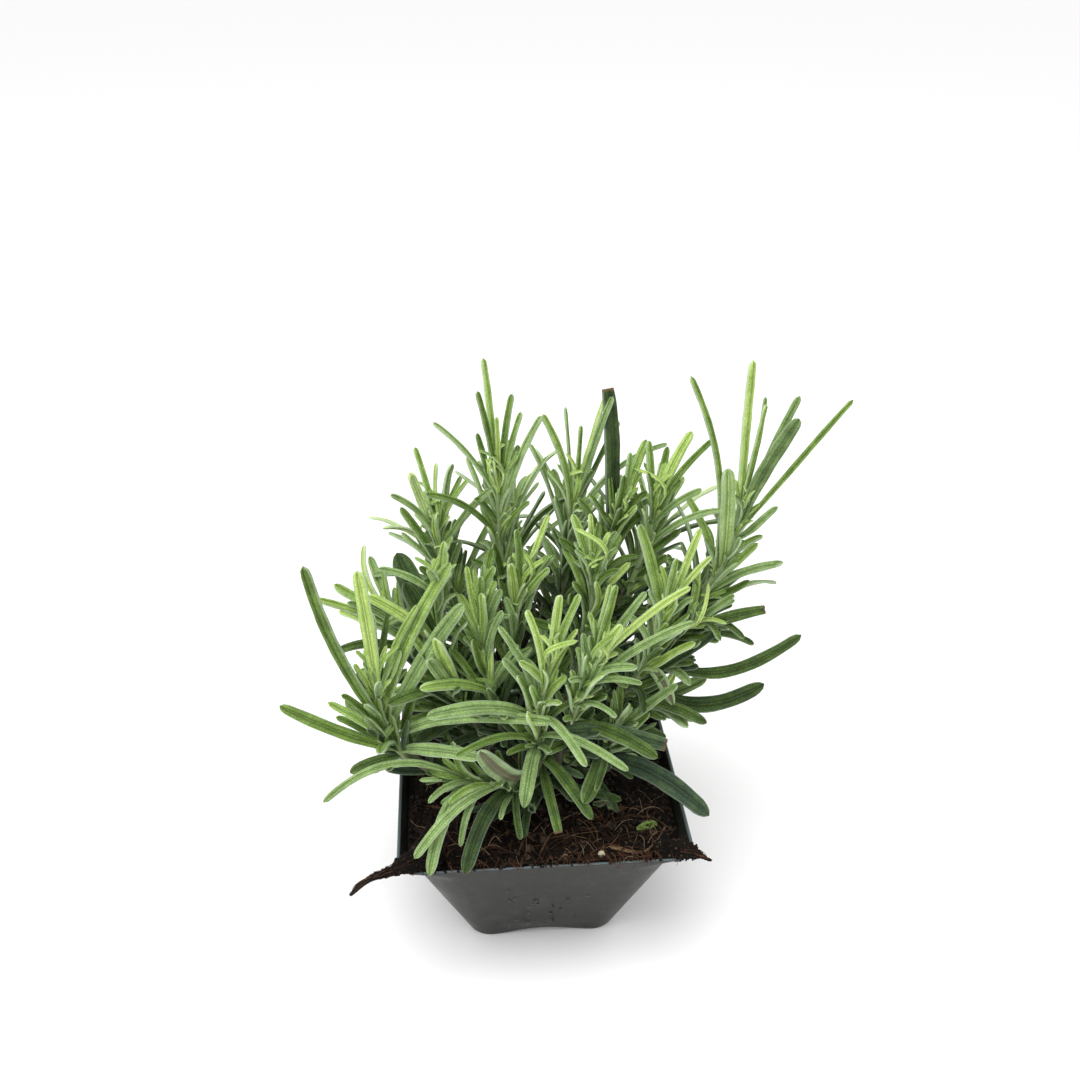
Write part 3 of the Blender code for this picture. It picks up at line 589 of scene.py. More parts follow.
# Crossed pairs up a whole stem, closing towards its tip.
def plainLeaves(name, line, pairs, length, width, chance):
    leaves = []
    for pair in range(pairs):
        place = 0.10 + 0.88 * pair / (pairs - 1)
        turn = math.pi / 2 * (pair % 2) + 0.3 * pair
        spread = 68 - 50 * place**1.5
        size = length * (0.8 + 0.35 * math.sin(math.pi * place))
        leaves += leafPair(name, line, place, turn, size, width, spread, chance)
    return leaves


# Where a shoot starts: just off the crown, or just off the woody part of the shoot that it forks from.
def rootOf(target, fork, lines, turn, shift):
    if fork is None:
        way = target - crown
        way.z = max(way.z, 0.45 * way.length)
        return crown + Matrix.Rotation(math.radians(turn), 3, "Z") @ way.normalized() * crownReach
    line = lines[fork[0]]
    place = (fork[1] + shift) * woodySpans / (len(line) - 1)
    middle, along = smooth(line, place)
    way = (target - middle).normalized()
    way = Matrix.Rotation(math.radians(turn), 3, along) @ way
    lean = max(way.angle(along), 0.4)
    step = (radiusAt(place) + forkGap + shootRadii[0] * math.cos(lean)) / math.sin(lean)
    return middle + way * step


# A shoot's whole line, from its root up its stem. The root moves to where the shoot is clear of the others.
def shootLine(name, stem, fork, lines, placed):
    start, along = smooth(stem, 0.0)
    for shift in (0, 0.12, -0.12, 0.24, -0.24):
        for turn in (0, 20, -20, 40, -40, 60, -60, 90, -90):
            root = rootOf(start, fork, lines, turn, shift)
            back = start - along * (start - root).length * 0.5
            rise = root.lerp(start, 0.5).lerp(back, 0.6)
            line = (root, rise, *[Vector(point) for point in stem])
            if not meets(pieceOf(name, shootShape(line, leafClearance)), placed):
                return line
    print("no clear way for", name)
    return line


# The line of every shoot, and every leaf, each clear of the other nodes. A leaf without room is left out.
def plantPlan():
    chance = random.Random(7)
    stems = {name: plan["stem"] for name, plan in shoots.items()}
    forks = {name: plan["fork"] for name, plan in shoots.items()}
    for name, (fork, start, end, *_) in plainShoots.items():
        middle = (Vector(start) + Vector(end)) / 2 + Vector((0, 0, 3))
        stems[name] = (start, middle, end)
        forks[name] = fork
    placed = [pieceOf("crown", crownShape())]
    lines = {}
    while len(lines) < len(stems):
        for name, fork in forks.items():
            if name not in lines and (fork is None or fork[0] in lines):
                lines[name] = shootLine(name, stems[name], fork, lines, placed)
                placed.append(pieceOf(name, shootShape(lines[name])))
    wanted = []
    for name, plan in shoots.items():
        for place, tip, width, lift, own, look in plan["leaves"]:
            wanted.append(leafAt(name, lines[name], place, Vector(tip), width, lift, own, look))
    for name, plan in shoots.items():
        wanted += lowerLeaves(name, lines[name], plan["low"], chance)
    for name, (_, _, _, pairs, length, width) in plainShoots.items():
        wanted += plainLeaves(name, lines[name], pairs, length, width, chance)
    leaves = []
    wanted.sort(key=lambda leaf: leaf["node"] == leaf["shoot"])
    for leaf in wanted:
        if settle(leaf, placed):
            placed.append(pieceOf(leaf["node"], leafShape(leaf), 1))
            leaves.append(leaf)
        elif leaf["node"] != leaf["shoot"]:
            print("no room for", leaf["node"])
    return lines, leaves


# Materials: each is a small tree of shader nodes on the object's own coordinates, in metres.
def paint(name, roughness, **sockets):
    material = bpy.data.materials.new(name)
    material.use_nodes = True
    tree = material.node_tree
    shader = tree.nodes["Principled BSDF"]
    shader.inputs["Roughness"].default_value = roughness
    for socket, value in sockets.items():
        shader.inputs[socket.replace("_", " ")].default_value = value
    return material, tree, shader


def add(tree, kind, inputs=None, **settings):
    made = tree.nodes.new("ShaderNode" + kind)
    for name, value in settings.items():
        setattr(made, name, value)
    for key, value in (inputs or {}).items():
        if isinstance(value, bpy.types.NodeSocket):
            tree.links.new(value, made.inputs[key])
        else:
            made.inputs[key].default_value = value
    return made


def carried(tree, tag):
    return add(tree, "Attribute", attribute_name=tag).outputs["Fac"]


def count(tree, operation, a, b=0.0, clamp=False):
    return add(tree, "Math", {0: a, 1: b}, operation=operation, use_clamp=clamp).outputs[0]


def span(tree, value, low, high, outLow=0.0, outHigh=1.0):
    made = add(tree, "MapRange", {"Value": value, "From Min": low, "From Max": high, "To Min": outLow,
                                  "To Max": outHigh}, interpolation_type="SMOOTHSTEP")
    return made.outputs[0]


def blendColour(tree, share, a, b, mode="MIX"):
    values = {0: share, 6: a, 7: b}
    values = {key: (*value, 1.0) if isinstance(value, tuple) else value for key, value in values.items()}
    return add(tree, "Mix", values, data_type="RGBA", blend_type=mode).outputs[2]


def ramp(tree, value, stops):
    made = add(tree, "ValToRGB", {0: value})
    elements = made.color_ramp.elements
    while len(elements) < len(stops):
        elements.new(0.5)
    for element, (place, colour) in zip(elements, stops):
        element.position = place
        element.color = (*colour, 1.0)
    return made.outputs[0]


def grit(tree, scale, detail=2.0, rough=0.5, stretch=None):
    where = add(tree, "TexCoord").outputs["Object"]
    if stretch:
        where = add(tree, "Mapping", {"Vector": where, "Scale": stretch}).outputs[0]
    inputs = {"Vector": where, "Scale": scale, "Detail": detail, "Roughness": rough}
    return add(tree, "TexNoise", inputs).outputs[0]


def bump(tree, shader, height, strength, distance):
    made = add(tree, "Bump", {"Height": height, "Strength": strength, "Distance": distance})
    tree.links.new(made.outputs[0], shader.inputs["Normal"])


leafPaint = {
    "green": ((0.0, (0.49, 0.65, 0.16)), (0.25, (0.28, 0.43, 0.062)), (0.50, (0.13, 0.225, 0.022)),
              (0.75, (0.052, 0.098, 0.012)), (1.0, (0.022, 0.042, 0.008))),
    "grey": ((0.0, (0.54, 0.67, 0.38)), (0.40, (0.29, 0.41, 0.188)), (0.70, (0.130, 0.195, 0.072)),
             (1.0, (0.048, 0.080, 0.052))),
    # The margin colour is pale down on the rolled edges and also a painted highlight there.
    "margin": (0.60, 0.70, 0.52),
    "rust": (0.115, 0.085, 0.058), "foot": (0.34, 0.44, 0.17), "wornEnd": (0.14, 0.085, 0.04),
    # rib also lightens the painted highlight on the crests; furrow darkens the painted shade in the midrib
    # groove.
    "rib": 1.45, "furrowShade": 0.50, "roughness": 0.62,
    # The light end of grain is hair specks and also painted highlight.
    "grain": ((0.34, (0.82, 0.82, 0.74)), (0.50, (0.98,) * 3), (0.68, (1.30, 1.30, 1.62))),
}


def leafMaterial():
    material, tree, shader = paint("leaf", leafPaint["roughness"], Sheen_Weight=0.07, Sheen_Roughness=0.4,
                                   Sheen_Tint=(0.85, 1.0, 0.85, 1.0), Subsurface_Weight=0.08,
                                   Subsurface_Scale=0.0006, Subsurface_Radius=(0.6, 1.0, 0.25),
                                   Specular_IOR_Level=0.16)
    across = count(tree, "ABSOLUTE", carried(tree, "across"))
    under = carried(tree, "under")
    along = carried(tree, "along")
    cloud = grit(tree, 260, 2)
    hairs = grit(tree, 3100, 3, 0.7)
    tone = count(tree, "ADD", carried(tree, "tone"), span(tree, cloud, 0.3, 0.7, -0.07, 0.07))
    tone = count(tree, "ADD", tone, count(tree, "MULTIPLY", under, -0.14))
    green = ramp(tree, tone, leafPaint["green"])
    grey = ramp(tree, tone, leafPaint["grey"])
    down = count(tree, "ADD", carried(tree, "felt"), span(tree, hairs, 0.36, 0.66, -0.24, 0.34))
    # Greyer down towards the margins, partly real down and partly painted highlight on the rolled edges.
    edge = span(tree, across, 0.70, 0.98, 0.0, 0.34)
    down = count(tree, "ADD", down, edge)
    down = count(tree, "ADD", down, count(tree, "MULTIPLY", under, 0.35), clamp=True)
    colour = blendColour(tree, down, green, grey)
    # A fine pale line follows the midrib. On each side, the wall of the groove beside it gets painted shade,
    # and the crest of the leaf's swelling beyond gets a fainter pale line, a painted highlight.
    rib = span(tree, across, 0.03, 0.12, 0.65, 0.0)
    light = blendColour(tree, 1.0, colour, (leafPaint["rib"],) * 3, "MULTIPLY")
    colour = blendColour(tree, rib, colour, light)
    # Painted highlight along the crest on each side of the midrib groove.
    near, far = span(tree, across, 0.40, 0.52), span(tree, across, 0.56, 0.68, 0.30, 0.0)
    lines = count(tree, "MULTIPLY", near, far)
    colour = blendColour(tree, lines, colour, light)
    # Painted shade on the walls of the midrib groove.
    inner, outer = span(tree, across, 0.16, 0.42, 1.0, 0.0), span(tree, across, 0.04, 0.13, 0.0, 0.75)
    furrowShade = count(tree, "MULTIPLY", inner, outer)
    dim = blendColour(tree, 1.0, colour, (leafPaint["furrowShade"],) * 3, "MULTIPLY")
    colour = blendColour(tree, furrowShade, colour, dim)
    # Short hairs break the colour into light and dark points; the brightest, bluish-white points are also
    # painted highlight.
    grain = ramp(tree, hairs, leafPaint["grain"])
    colour = blendColour(tree, 1.0, colour, grain, "MULTIPLY")
    # Pale down shows along the rolled margins, most on younger leaves; this pale band is also a painted
    # highlight on the rolled edges.
    youth = span(tree, tone, 0.1, 0.95, 0.56, 0.20)
    margin = count(tree, "MULTIPLY", span(tree, across, 0.84, 0.97), youth)
    colour = blendColour(tree, margin, colour, leafPaint["margin"])
    brown = count(tree, "MULTIPLY", span(tree, across, 0.30, 0.66, 0.75, 0.0), carried(tree, "rusty"))
    colour = blendColour(tree, brown, colour, leafPaint["rust"])
    colour = blendColour(tree, span(tree, along, 0.0, 0.16, 0.6, 0.0), colour, leafPaint["foot"])
    tips = count(tree, "MULTIPLY", span(tree, along, 0.975, 1.0), carried(tree, "worn"))
    colour = blendColour(tree, tips, colour, leafPaint["wornEnd"])
    tree.links.new(colour, shader.inputs["Base Color"])
    pucker = grit(tree, 1500, 2, 0.6)
    height = count(tree, "ADD", pucker, count(tree, "MULTIPLY", hairs, 0.6))
    bump(tree, shader, height, 0.9, 0.0003)
    return material


stemPaint = {
    "green": ((0.25, (0.20, 0.29, 0.10)), (0.7, (0.30, 0.39, 0.18))),
    "bark": ((0.2, (0.045, 0.032, 0.022)), (0.5, (0.13, 0.095, 0.062)), (0.8, (0.24, 0.19, 0.13))),
    "roughness": 0.75,
}


def stemMaterial():
    material, tree, shader = paint("stem", stemPaint["roughness"], Sheen_Weight=0.2, Sheen_Roughness=0.5)
    fibre = grit(tree, 900, 3, 0.6, (1, 1, 0.22))
    speck = grit(tree, 3600, 2, 0.6)
    mixed = count(tree, "ADD", count(tree, "MULTIPLY", fibre, 0.7), count(tree, "MULTIPLY", speck, 0.3))
    green = ramp(tree, mixed, stemPaint["green"])
    bark = ramp(tree, mixed, stemPaint["bark"])
    edge = count(tree, "ADD", carried(tree, "woody"), span(tree, fibre, 0.3, 0.7, -0.15, 0.15), clamp=True)
    tree.links.new(blendColour(tree, edge, green, bark), shader.inputs["Base Color"])
    bump(tree, shader, mixed, 0.7, 0.0004)
    return material


# The lip colour and its depth paint a reflection of the white surroundings along the top of the rim.
potPaint = {
    "plastic": (0.007, 0.0073, 0.0052), "dull": (0.022, 0.0215, 0.0175), "dust": (0.006, 0.005, 0.004),
    "lip": (0.11, 0.14, 0.15), "lipGlintDepth": 0.45, "mark": (0.036, 0.036, 0.033), "roughness": 0.36,
    "gloss": (0.30, 0.44),
}


def potMaterial():
    material, tree, shader = paint("potPlastic", potPaint["roughness"], Specular_IOR_Level=0.16)
    flow = grit(tree, 70, 4, 0.62, (1, 1, 0.5))
    grain = grit(tree, 2600, 2, 0.6)
    colour = blendColour(tree, span(tree, flow, 0.35, 0.7), potPaint["plastic"], potPaint["dull"])
    # Specks of soil sit on the wall in loose groups.
    where = add(tree, "TexCoord").outputs["Object"]
    dust = add(tree, "TexVoronoi", {"Vector": where, "Scale": 900.0}).outputs[0]
    groups = span(tree, grit(tree, 120, 2), 0.54, 0.62)
    dots = count(tree, "MULTIPLY", span(tree, dust, 0.16, 0.26, 1.0, 0.0), groups)
    colour = blendColour(tree, count(tree, "MULTIPLY", dots, 0.9), colour, potPaint["dust"])
    # Dried water leaves pale patches.
    marks = span(tree, grit(tree, 210, 6, 0.75), 0.47, 0.70, 0.0, 0.6)
    colour = blendColour(tree, marks, colour, potPaint["mark"])
    # The top of the lip is painted paler and bluish, a painted reflection of the white surroundings along the
    # rim's edge.
    height = add(tree, "SeparateXYZ", {0: add(tree, "TexCoord").outputs["Object"]}).outputs[2]
    top = potSizes["height"] * mm
    lip = span(tree, height, top - potPaint["lipGlintDepth"] * mm, top - 0.15 * mm, 0.0, 0.85)
    colour = blendColour(tree, lip, colour, potPaint["lip"])
    tree.links.new(colour, shader.inputs["Base Color"])
    gloss = span(tree, flow, 0.3, 0.7, *potPaint["gloss"])
    tree.links.new(gloss, shader.inputs["Roughness"])
    bump(tree, shader, count(tree, "ADD", grain, count(tree, "MULTIPLY", flow, 2.0)), 0.12, 0.0003)
    return material


# Earth, peat, fibres and bark share one tree of nodes, with their own colours, roughness and scale of grain.
earthPaints = {
    "soilPeat": (((0.25, (0.002, 0.0015, 0.001)), (0.55, (0.009, 0.006, 0.004)),
                  (0.85, (0.035, 0.022, 0.014))), 0.95, 700),
    "soilCrumb": (((0.2, (0.002, 0.0015, 0.001)), (0.58, (0.011, 0.0075, 0.005)),
                   (0.85, (0.095, 0.060, 0.040))), 0.7, 900),
    "fibreTan": (((0.2, (0.13, 0.075, 0.038)), (0.8, (0.36, 0.235, 0.13))), 0.75, 1500),
    "fibreCream": (((0.2, (0.30, 0.22, 0.13)), (0.8, (0.60, 0.48, 0.33))), 0.6, 1500),
    "fibreRust": (((0.2, (0.035, 0.015, 0.009)), (0.8, (0.13, 0.060, 0.032))), 0.8, 1500),
    "rootDark": (((0.2, (0.010, 0.006, 0.004)), (0.8, (0.045, 0.028, 0.019))), 0.8, 1500),
    "barkChip": (((0.2, (0.018, 0.009, 0.005)), (0.8, (0.085, 0.042, 0.022))), 0.85, 800),
    "deadTwig": (((0.2, (0.085, 0.072, 0.055)), (0.8, (0.25, 0.215, 0.17))), 0.85, 1200),
    "creamGrain": (((0.2, (0.38, 0.35, 0.20)), (0.8, (0.62, 0.58, 0.40))), 0.55, 1300),
    "crownBark": (((0.2, (0.035, 0.024, 0.016)), (0.5, (0.11, 0.078, 0.05)),
                   (0.85, (0.22, 0.17, 0.12))), 0.85, 800),
}


def earthMaterial(name):
    stops, roughness, scale = earthPaints[name]
    material, tree, shader = paint(name, roughness, Specular_IOR_Level=0.15)
    fine = grit(tree, scale, 4, 0.65)
    own = carried(tree, "chance")
    shift = count(tree, "MULTIPLY", count(tree, "SUBTRACT", own, 0.5), 0.5)
    value = count(tree, "ADD", fine, shift, clamp=True)
    tree.links.new(ramp(tree, value, stops), shader.inputs["Base Color"])
    bump(tree, shader, fine, 0.8, 0.0005)
    return material


def dropMaterial():
    return paint("waterDrop", 0.04, Transmission_Weight=1.0, IOR=1.33)[0]


materials = {"leaf": leafMaterial(), "stem": stemMaterial(), "pot": potMaterial(), "drop": dropMaterial()}
for paintName in earthPaints:
    materials[paintName] = earthMaterial(paintName)
print("materials made:", len(materials))


# A growing mesh: arrays of points and faces, with values carried by each point.
def newSoup():
    return {"points": [], "faces": [], "slots": [], "tags": {}, "count": 0}


tagNames = ("tone", "felt", "across", "along", "under", "chance", "woody", "worn", "rusty")


def addPart(soup, points, faces, slot=0, **tags):
    count = len(points)
    soup["points"].append(np.asarray(points, float))
    soup["faces"] += [tuple(int(k) + soup["count"] for k in face) for face in faces]
    soup["slots"] += [slot] * len(faces)
    for tag in tagNames:
        value = tags.get(tag, 0.0)
        soup["tags"].setdefault(tag, []).append(np.broadcast_to(np.asarray(value, float), (count,)))
    soup["count"] += count


def pieceFrom(name, soup, materials, replaces=(), smoothShade=True):
    mesh = bpy.data.meshes.new(name)
    mesh.from_pydata((np.concatenate(soup["points"]) * mm).tolist(), [], soup["faces"])
    for material in materials:
        mesh.materials.append(material)
    mesh.polygons.foreach_set("material_index", soup["slots"])
    mesh.polygons.foreach_set("use_smooth", [smoothShade] * len(soup["faces"]))
    for tag, values in soup["tags"].items():
        layer = mesh.attributes.new(tag, "FLOAT", "POINT")
        layer.data.foreach_set("value", np.concatenate(values).astype(np.float32))
    mesh.update()
    piece = bpy.data.objects.new(name, mesh)
    bpy.context.scene.collection.objects.link(piece)
    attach(piece, everything)
    if replaces:
        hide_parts(*replaces)
    return piece


# Faces of a skin of rings with a fan to a last point, and a flat cap at its start.
def skinFaces(rings, around, tipFan):
    faces = [tuple(reversed(range(around)))]
    for ring in range(rings - 1):
        for k in range(around):
            low = ring * around
            after = (k + 1) % around
            faces.append((low + k, low + after, low + around + after, low + around + k))
    last = (rings - 1) * around
    if tipFan:
        faces += [(last + k, last + (k + 1) % around, last + around) for k in range(around)]
    else:
        faces.append(tuple(range(last, last + around)))
    return faces


# The looks of leaves, as tone and felt: tone runs from new growth at 0 to the oldest at 1, and felt is the
# share of grey down. The dark and night looks, darker than old, are painted shade for leaves that lie in
# shade.
leafLooks = {
    "new": (0.10, 0.06), "lime": (0.20, 0.06), "fresh": (0.30, 0.20), "grey": (0.44, 0.52),
    "olive": (0.50, 0.16), "deep": (0.62, 0.08), "old": (0.76, 0.20), "dark": (0.90, 0.16),
    "slate": (0.62, 0.62), "night": (0.95, 0.60), "under": (0.66, 0.50), "back": (0.44, 0.05),
    "dead": (0.50, 0.95),
}
rustyLooks = ("under", "dead")
cutLeaves = ("leaf_right_cut", "leaf_broad_back", "leaf_front_stub", "leaf_broad_front")

# Cross-section of a leaf, from its left margin over the top and back under: share of the half width, share
# of the thickness. The margins roll under, and a groove above and a ridge below follow the midrib.
# The light values say how strongly a leaf turns its upper side to the light, or its lower side if negative.
leafSection = {
    "fine": (
        (-1.0, -0.55), (-0.95, 0.10), (-0.78, 0.70), (-0.46, 0.95), (-0.16, 0.55), (0.0, -0.05), (0.16, 0.55),
        (0.46, 0.95), (0.78, 0.70), (0.95, 0.10), (1.0, -0.55), (0.88, -1.0), (0.64, -0.70), (0.30, -0.35),
        (0.0, -1.0), (-0.30, -0.35), (-0.64, -0.70), (-0.88, -1.0),
    ),
    "small": (
        (-1.0, -0.2), (-0.7, 0.7), (-0.25, 0.75), (0.0, 0.1), (0.25, 0.75), (0.7, 0.7), (1.0, -0.2),
        (0.6, -0.6), (0.0, -0.8), (-0.6, -0.6),
    ),
    "stations": {"fine": 20, "medium": 14, "small": 9},
    "firstUnder": {"fine": 11, "medium": 11, "small": 7},
    "thickness": 0.24,
    "thicknessPerWidth": 0.11,
    "tipRound": 0.7,
    "widths": ((0.0, 0.07, 0.22, 0.45, 0.62, 0.8, 0.92, 1.0),
               (0.40, 0.50, 0.80, 1.0, 1.03, 0.97, 0.88, 0.76)),
    "twist": 14.0,
    "twistDead": 3,
    "twistOwn": 0.3,
    "twistShown": 0.6,
    "sway": 0.04,
    "arch": (-0.05, 0.09),
    "recurve": (-0.04, 0.10),
    "light": (1.2, 2.8),
    "lightShown": 3.2,
    "lightOwn": 5.0,
    "lightUnder": -5.0,
    "looksUnder": ("under", "back"),
    "hookShare": 0.22,
    "hook": (0.25, 0.5),
    "heldStill": 0.3,
    "fullness": 1.07,
}


# The light that reaches a leaf's own side of the plant: from the front, or from behind for the back leaves.
def lightOn(place):
    behind = min(max((place.y - 12) / 22, 0.0), 1.0)
    return Vector((0.004 * place.x, -0.75 + 1.35 * behind, 0.45))


def openFace(leaf, way, light):
    face = leafFace(leaf["along"], leaf["outward"], way) + lightOn(leaf["tip"]) * light
    face -= way * face.dot(way)
    return face.normalized()


def addLeaf(soup, leaf, kind, draw, look):
    plan = leafSection
    section = np.array(plan["small" if kind == "small" else "fine"])
    stations = plan["stations"][kind]
    run = 1 - (1 - np.linspace(0, 1, stations)) ** 1.35
    length = (leaf["tip"] - leaf["base"]).length
    cut = leaf["node"] in cutLeaves
    tone, felt = leafLooks[look]
    dead = look == "dead"
    # A leaf that a table places keeps nearly to its line and shows its broad side.
    shown = bool(leaf.get("look"))
    own = shown and leaf["node"] != leaf["shoot"]
    loose = plan["twistDead"] if dead else plan["twistOwn"] if own else plan["twistShown"] if shown else 1
    twist = math.radians(draw.uniform(-1, 1) * plan["twist"] * loose)
    bends = length * (plan["heldStill"] if shown else 1.0)
    sway = draw.uniform(-1, 1) * plan["sway"] * bends
    light = draw.uniform(*plan["light"])
    if shown:
        light = plan["lightOwn"] if own else plan["lightShown"]
        if look in plan["looksUnder"]:
            light = plan["lightUnder"]
    arch = draw.uniform(*plan["arch"]) * bends
    recurve = draw.uniform(*plan["recurve"]) * bends
    if kind == "small" and draw.random() < plan["hookShare"]:
        arch = draw.uniform(*plan["hook"]) * length
    phase = draw.uniform(0, 6.28)
    roundFrom = 1 - min(plan["tipRound"] * leaf["width"] / length, 0.4)
    points = []
    for t in run:
        middle, way = leaf["at"](float(t))
        face = Matrix.Rotation(twist * t, 3, way) @ openFace(leaf, way, light)
        side = way.cross(face)
        middle = middle + side * (sway * math.sin(math.pi * t) ** 2)
        middle += face * (arch * math.sin(math.pi * t) - recurve * max(0.0, (t - 0.6) / 0.4) ** 2)
        half = leaf["width"] * plan["fullness"] / 2 * np.interp(t, *plan["widths"])
        half *= 1 + 0.035 * math.sin(phase + t * length * 0.55)
        thick = plan["thickness"] + plan["thicknessPerWidth"] * leaf["width"]
        thick *= 1 + 0.12 * math.sin(phase * 2 + t * length * 0.8)
        if not cut and t > roundFrom:
            curve = math.sqrt(max(1 - ((t - roundFrom) / (1 - roundFrom)) ** 2, 0.0))
            half *= max(curve, 0.06)
            thick *= max(curve, 0.12) ** 0.6
        if dead:
            middle += face * 0.5 * math.sin(phase + t * 9)
        for x, z in section:
            ripple = 0.05 * math.sin(phase + x * 3 + t * length * 1.7) * (1 - abs(x))
            points.append(middle + side * float(x * half) + face * float((z + ripple) * thick))
    count = len(section)
    points.append(sum(points[-count:], Vector()) / count + way * 0.02)
    across = np.append(np.tile(section[:, 0], stations), 0.0)
    under = np.tile((np.arange(count) >= plan["firstUnder"][kind]).astype(float), stations)
    along = np.append(np.repeat(run, count), 1.0)
    addPart(soup, points, skinFaces(stations, count, True), 0, tone=tone + draw.uniform(-0.05, 0.05),
            felt=felt, across=across, along=along, under=np.append(under, 0.0), chance=draw.random(),
            worn=float(cut or dead), rusty=float(look in rustyLooks))


# A stem: woody and flaking below, green and four-sided above, thicker where leaves join it.
stemShape = {"ring": 1.3, "around": 10, "reachBack": 2.6, "swell": 0.22, "swellSpan": 1.1, "square": 0.08,
             "knobs": 0.16}


def addStem(soup, line, places, draw):
    plan = stemShape
    length = sum((line[k + 1] - line[k]).length for k in range(len(line) - 1))
    rings = max(int(length / plan["ring"]), 8)
    woodyEnd = woodySpans / (len(line) - 1)
    points, woody, along = [], [], []
    shift = draw.uniform(0, 50)
    for ring in range(-2, rings + 1):
        place = max(ring, 0) / rings
        middle, way = smooth(line, place)
        if ring < 0:
            middle = middle + way * (ring / 2 * plan["reachBack"])
        side, front = sidesOf(way)
        bark = 1 - min(max((place - woodyEnd * 0.75) / (woodyEnd * 0.6), 0), 1)
        radius = radiusAt(place)
        for spot in places:
            radius *= 1 + plan["swell"] * math.exp(-(((place - spot) * length / plan["swellSpan"]) ** 2))
        if ring > rings - 2:
            radius *= 0.75
        for k in range(plan["around"]):
            turn = 2 * math.pi * k / plan["around"]
            out = outAt(side, front, turn)
            rough = noise.noise(middle * 0.55 + out * 1.3 + Vector((shift, 0, 0)))
            wide = 1 + plan["square"] * math.cos(4 * turn) * (1 - bark) + plan["knobs"] * bark * rough
            points.append(middle + out * (radius * wide))
            woody.append(bark)
            along.append(place)
    end, way = smooth(line, 1.0)
    points.append(end + way * 0.5)
    addPart(soup, points, skinFaces(rings + 3, plan["around"], True), 1, woody=woody + [0.0],
            along=along + [1.0], chance=draw.random())


# Young leaves: small pairs in the axils and a close tuft at the top of each shoot.
tufts = {"axilShare": 0.55, "axilFrom": 0.15, "axilLength": (3.5, 9.0), "axilWidth": (0.9, 1.5),
         "topCount": 8, "topLength": (6.0, 15.0), "topWidth": (1.1, 1.8), "topSpread": (8.0, 30.0)}


# Middling leaves between the planned ones, which close the plant's inside.
fillers = {"count": 28, "countBehind": 34, "behindFrom": 12, "overRim": 56.0, "from": -0.5, "to": 0.92,
           "length": (11.0, 27.0), "usualLength": 17.0, "width": (1.5, 2.4), "lean": (22.0, 66.0)}


# Deep inside, leaves are old and get the dark and night looks as painted shade; further up they are like the
# rest.
def innerLook(place, draw):
    if place < 0.2:
        return draw.choice(("dark", "old", "dark", "night"))
    if place < 0.55:
        return draw.choice(("deep", "old", "olive", "grey", "deep"))
    return draw.choice(("olive", "grey", "fresh", "deep"))


# True where a leaf would lie low over the rim, where only the planned ones do.
def lowOverRim(point):
    return point.z < fillers["overRim"] and max(abs(point.x), abs(point.y)) > potSizes["rimHalf"] - 6


def addFillers(soup, name, line, draw):
    turn = draw.uniform(0, 6.28)
    behind = smooth(line, 0.6)[0].y > fillers["behindFrom"]
    total = fillers["countBehind"] if behind else fillers["count"]
    for k in range(total):
        share = min(max((k // 2 * 2 + draw.uniform(0, 1.4)) / total, 0.0), 1.0)
        place = fillers["from"] + (fillers["to"] - fillers["from"]) * share
        middle, along = smooth(line, stemPlace(line, place))
        side, front = sidesOf(along)
        turn += math.pi if k % 2 else math.pi / 2 + draw.uniform(-0.5, 0.5)
        out = outAt(side, front, turn)
        lean = math.radians(draw.uniform(*fillers["lean"]) * (1 - 0.3 * share))
        heading = along * math.cos(lean) + out * math.sin(lean) + Vector((0, 0, draw.uniform(0, 0.35)))
        length = draw.triangular(*fillers["length"], fillers["usualLength"]) * (1 - 0.25 * share)
        young = youngLeaf(middle + out * 0.5, along, heading, length, draw.uniform(*fillers["width"]), name)
        young["at"] = leafLine(young["base"], young["tip"], along, draw.uniform(-3.0, 2.5))
        if clearOfPot([young["at"](t / 4)[0] for t in range(1, 5)]) and not lowOverRim(young["tip"]):
            addLeaf(soup, young, "medium", draw, innerLook(place, draw))


# Close upright leaves that fill the head of a shoot near the front.
bunches = {
    "counts": {"shoot_front": 14, "shoot_front_right": 14, "shoot_inner_left": 10, "shoot_centre": 10,
               "shoot_centre_left": 10, "shoot_mid_left": 8, "shoot_right_front": 8, "shoot_left": 5},
    "from": 0.30, "to": 0.92, "length": (13.0, 25.0), "width": (1.5, 2.4), "lean": (7.0, 24.0), "turn": 2.4,
    "looks": ("fresh", "grey", "new", "grey", "fresh", "lime", "olive"),
}


def addBunch(soup, name, line, draw):
    total = bunches["counts"].get(name, 0)
    for k in range(total):
        share = k / total
        place = bunches["from"] + (bunches["to"] - bunches["from"]) * share
        middle, along = smooth(line, stemPlace(line, place))
        side, front = sidesOf(along)
        out = outAt(side, front, bunches["turn"] * k + draw.uniform(-0.4, 0.4))
        lean = math.radians(draw.uniform(*bunches["lean"]))
        heading = along * math.cos(lean) + out * math.sin(lean)
        length = draw.uniform(*bunches["length"]) * (1 - 0.3 * share)
        young = youngLeaf(middle + out * 0.5, along, heading, length, draw.uniform(*bunches["width"]), name)
        young["at"] = leafLine(young["base"], young["tip"], along, draw.uniform(-1.5, 1.5))
        addLeaf(soup, young, "medium", draw, draw.choice(bunches["looks"]))


def youngLeaf(middle, along, way, length, width, node):
    outward = way - along * way.dot(along)
    outward.normalize()
    tip = middle + way.normalized() * length
    return {"node": node, "base": middle, "tip": tip, "along": along, "outward": outward, "width": width,
            "at": leafLine(middle, tip, along, 0.0)}


# Growth low on the plant is shaded, and stays greyer and darker.
def axilLooks(name, place):
    if "low" in name:
        return ("grey", "olive", "grey", "old")
    if place < 0.5:
        return ("fresh", "grey", "olive", "lime")
    return ("new", "lime", "fresh")


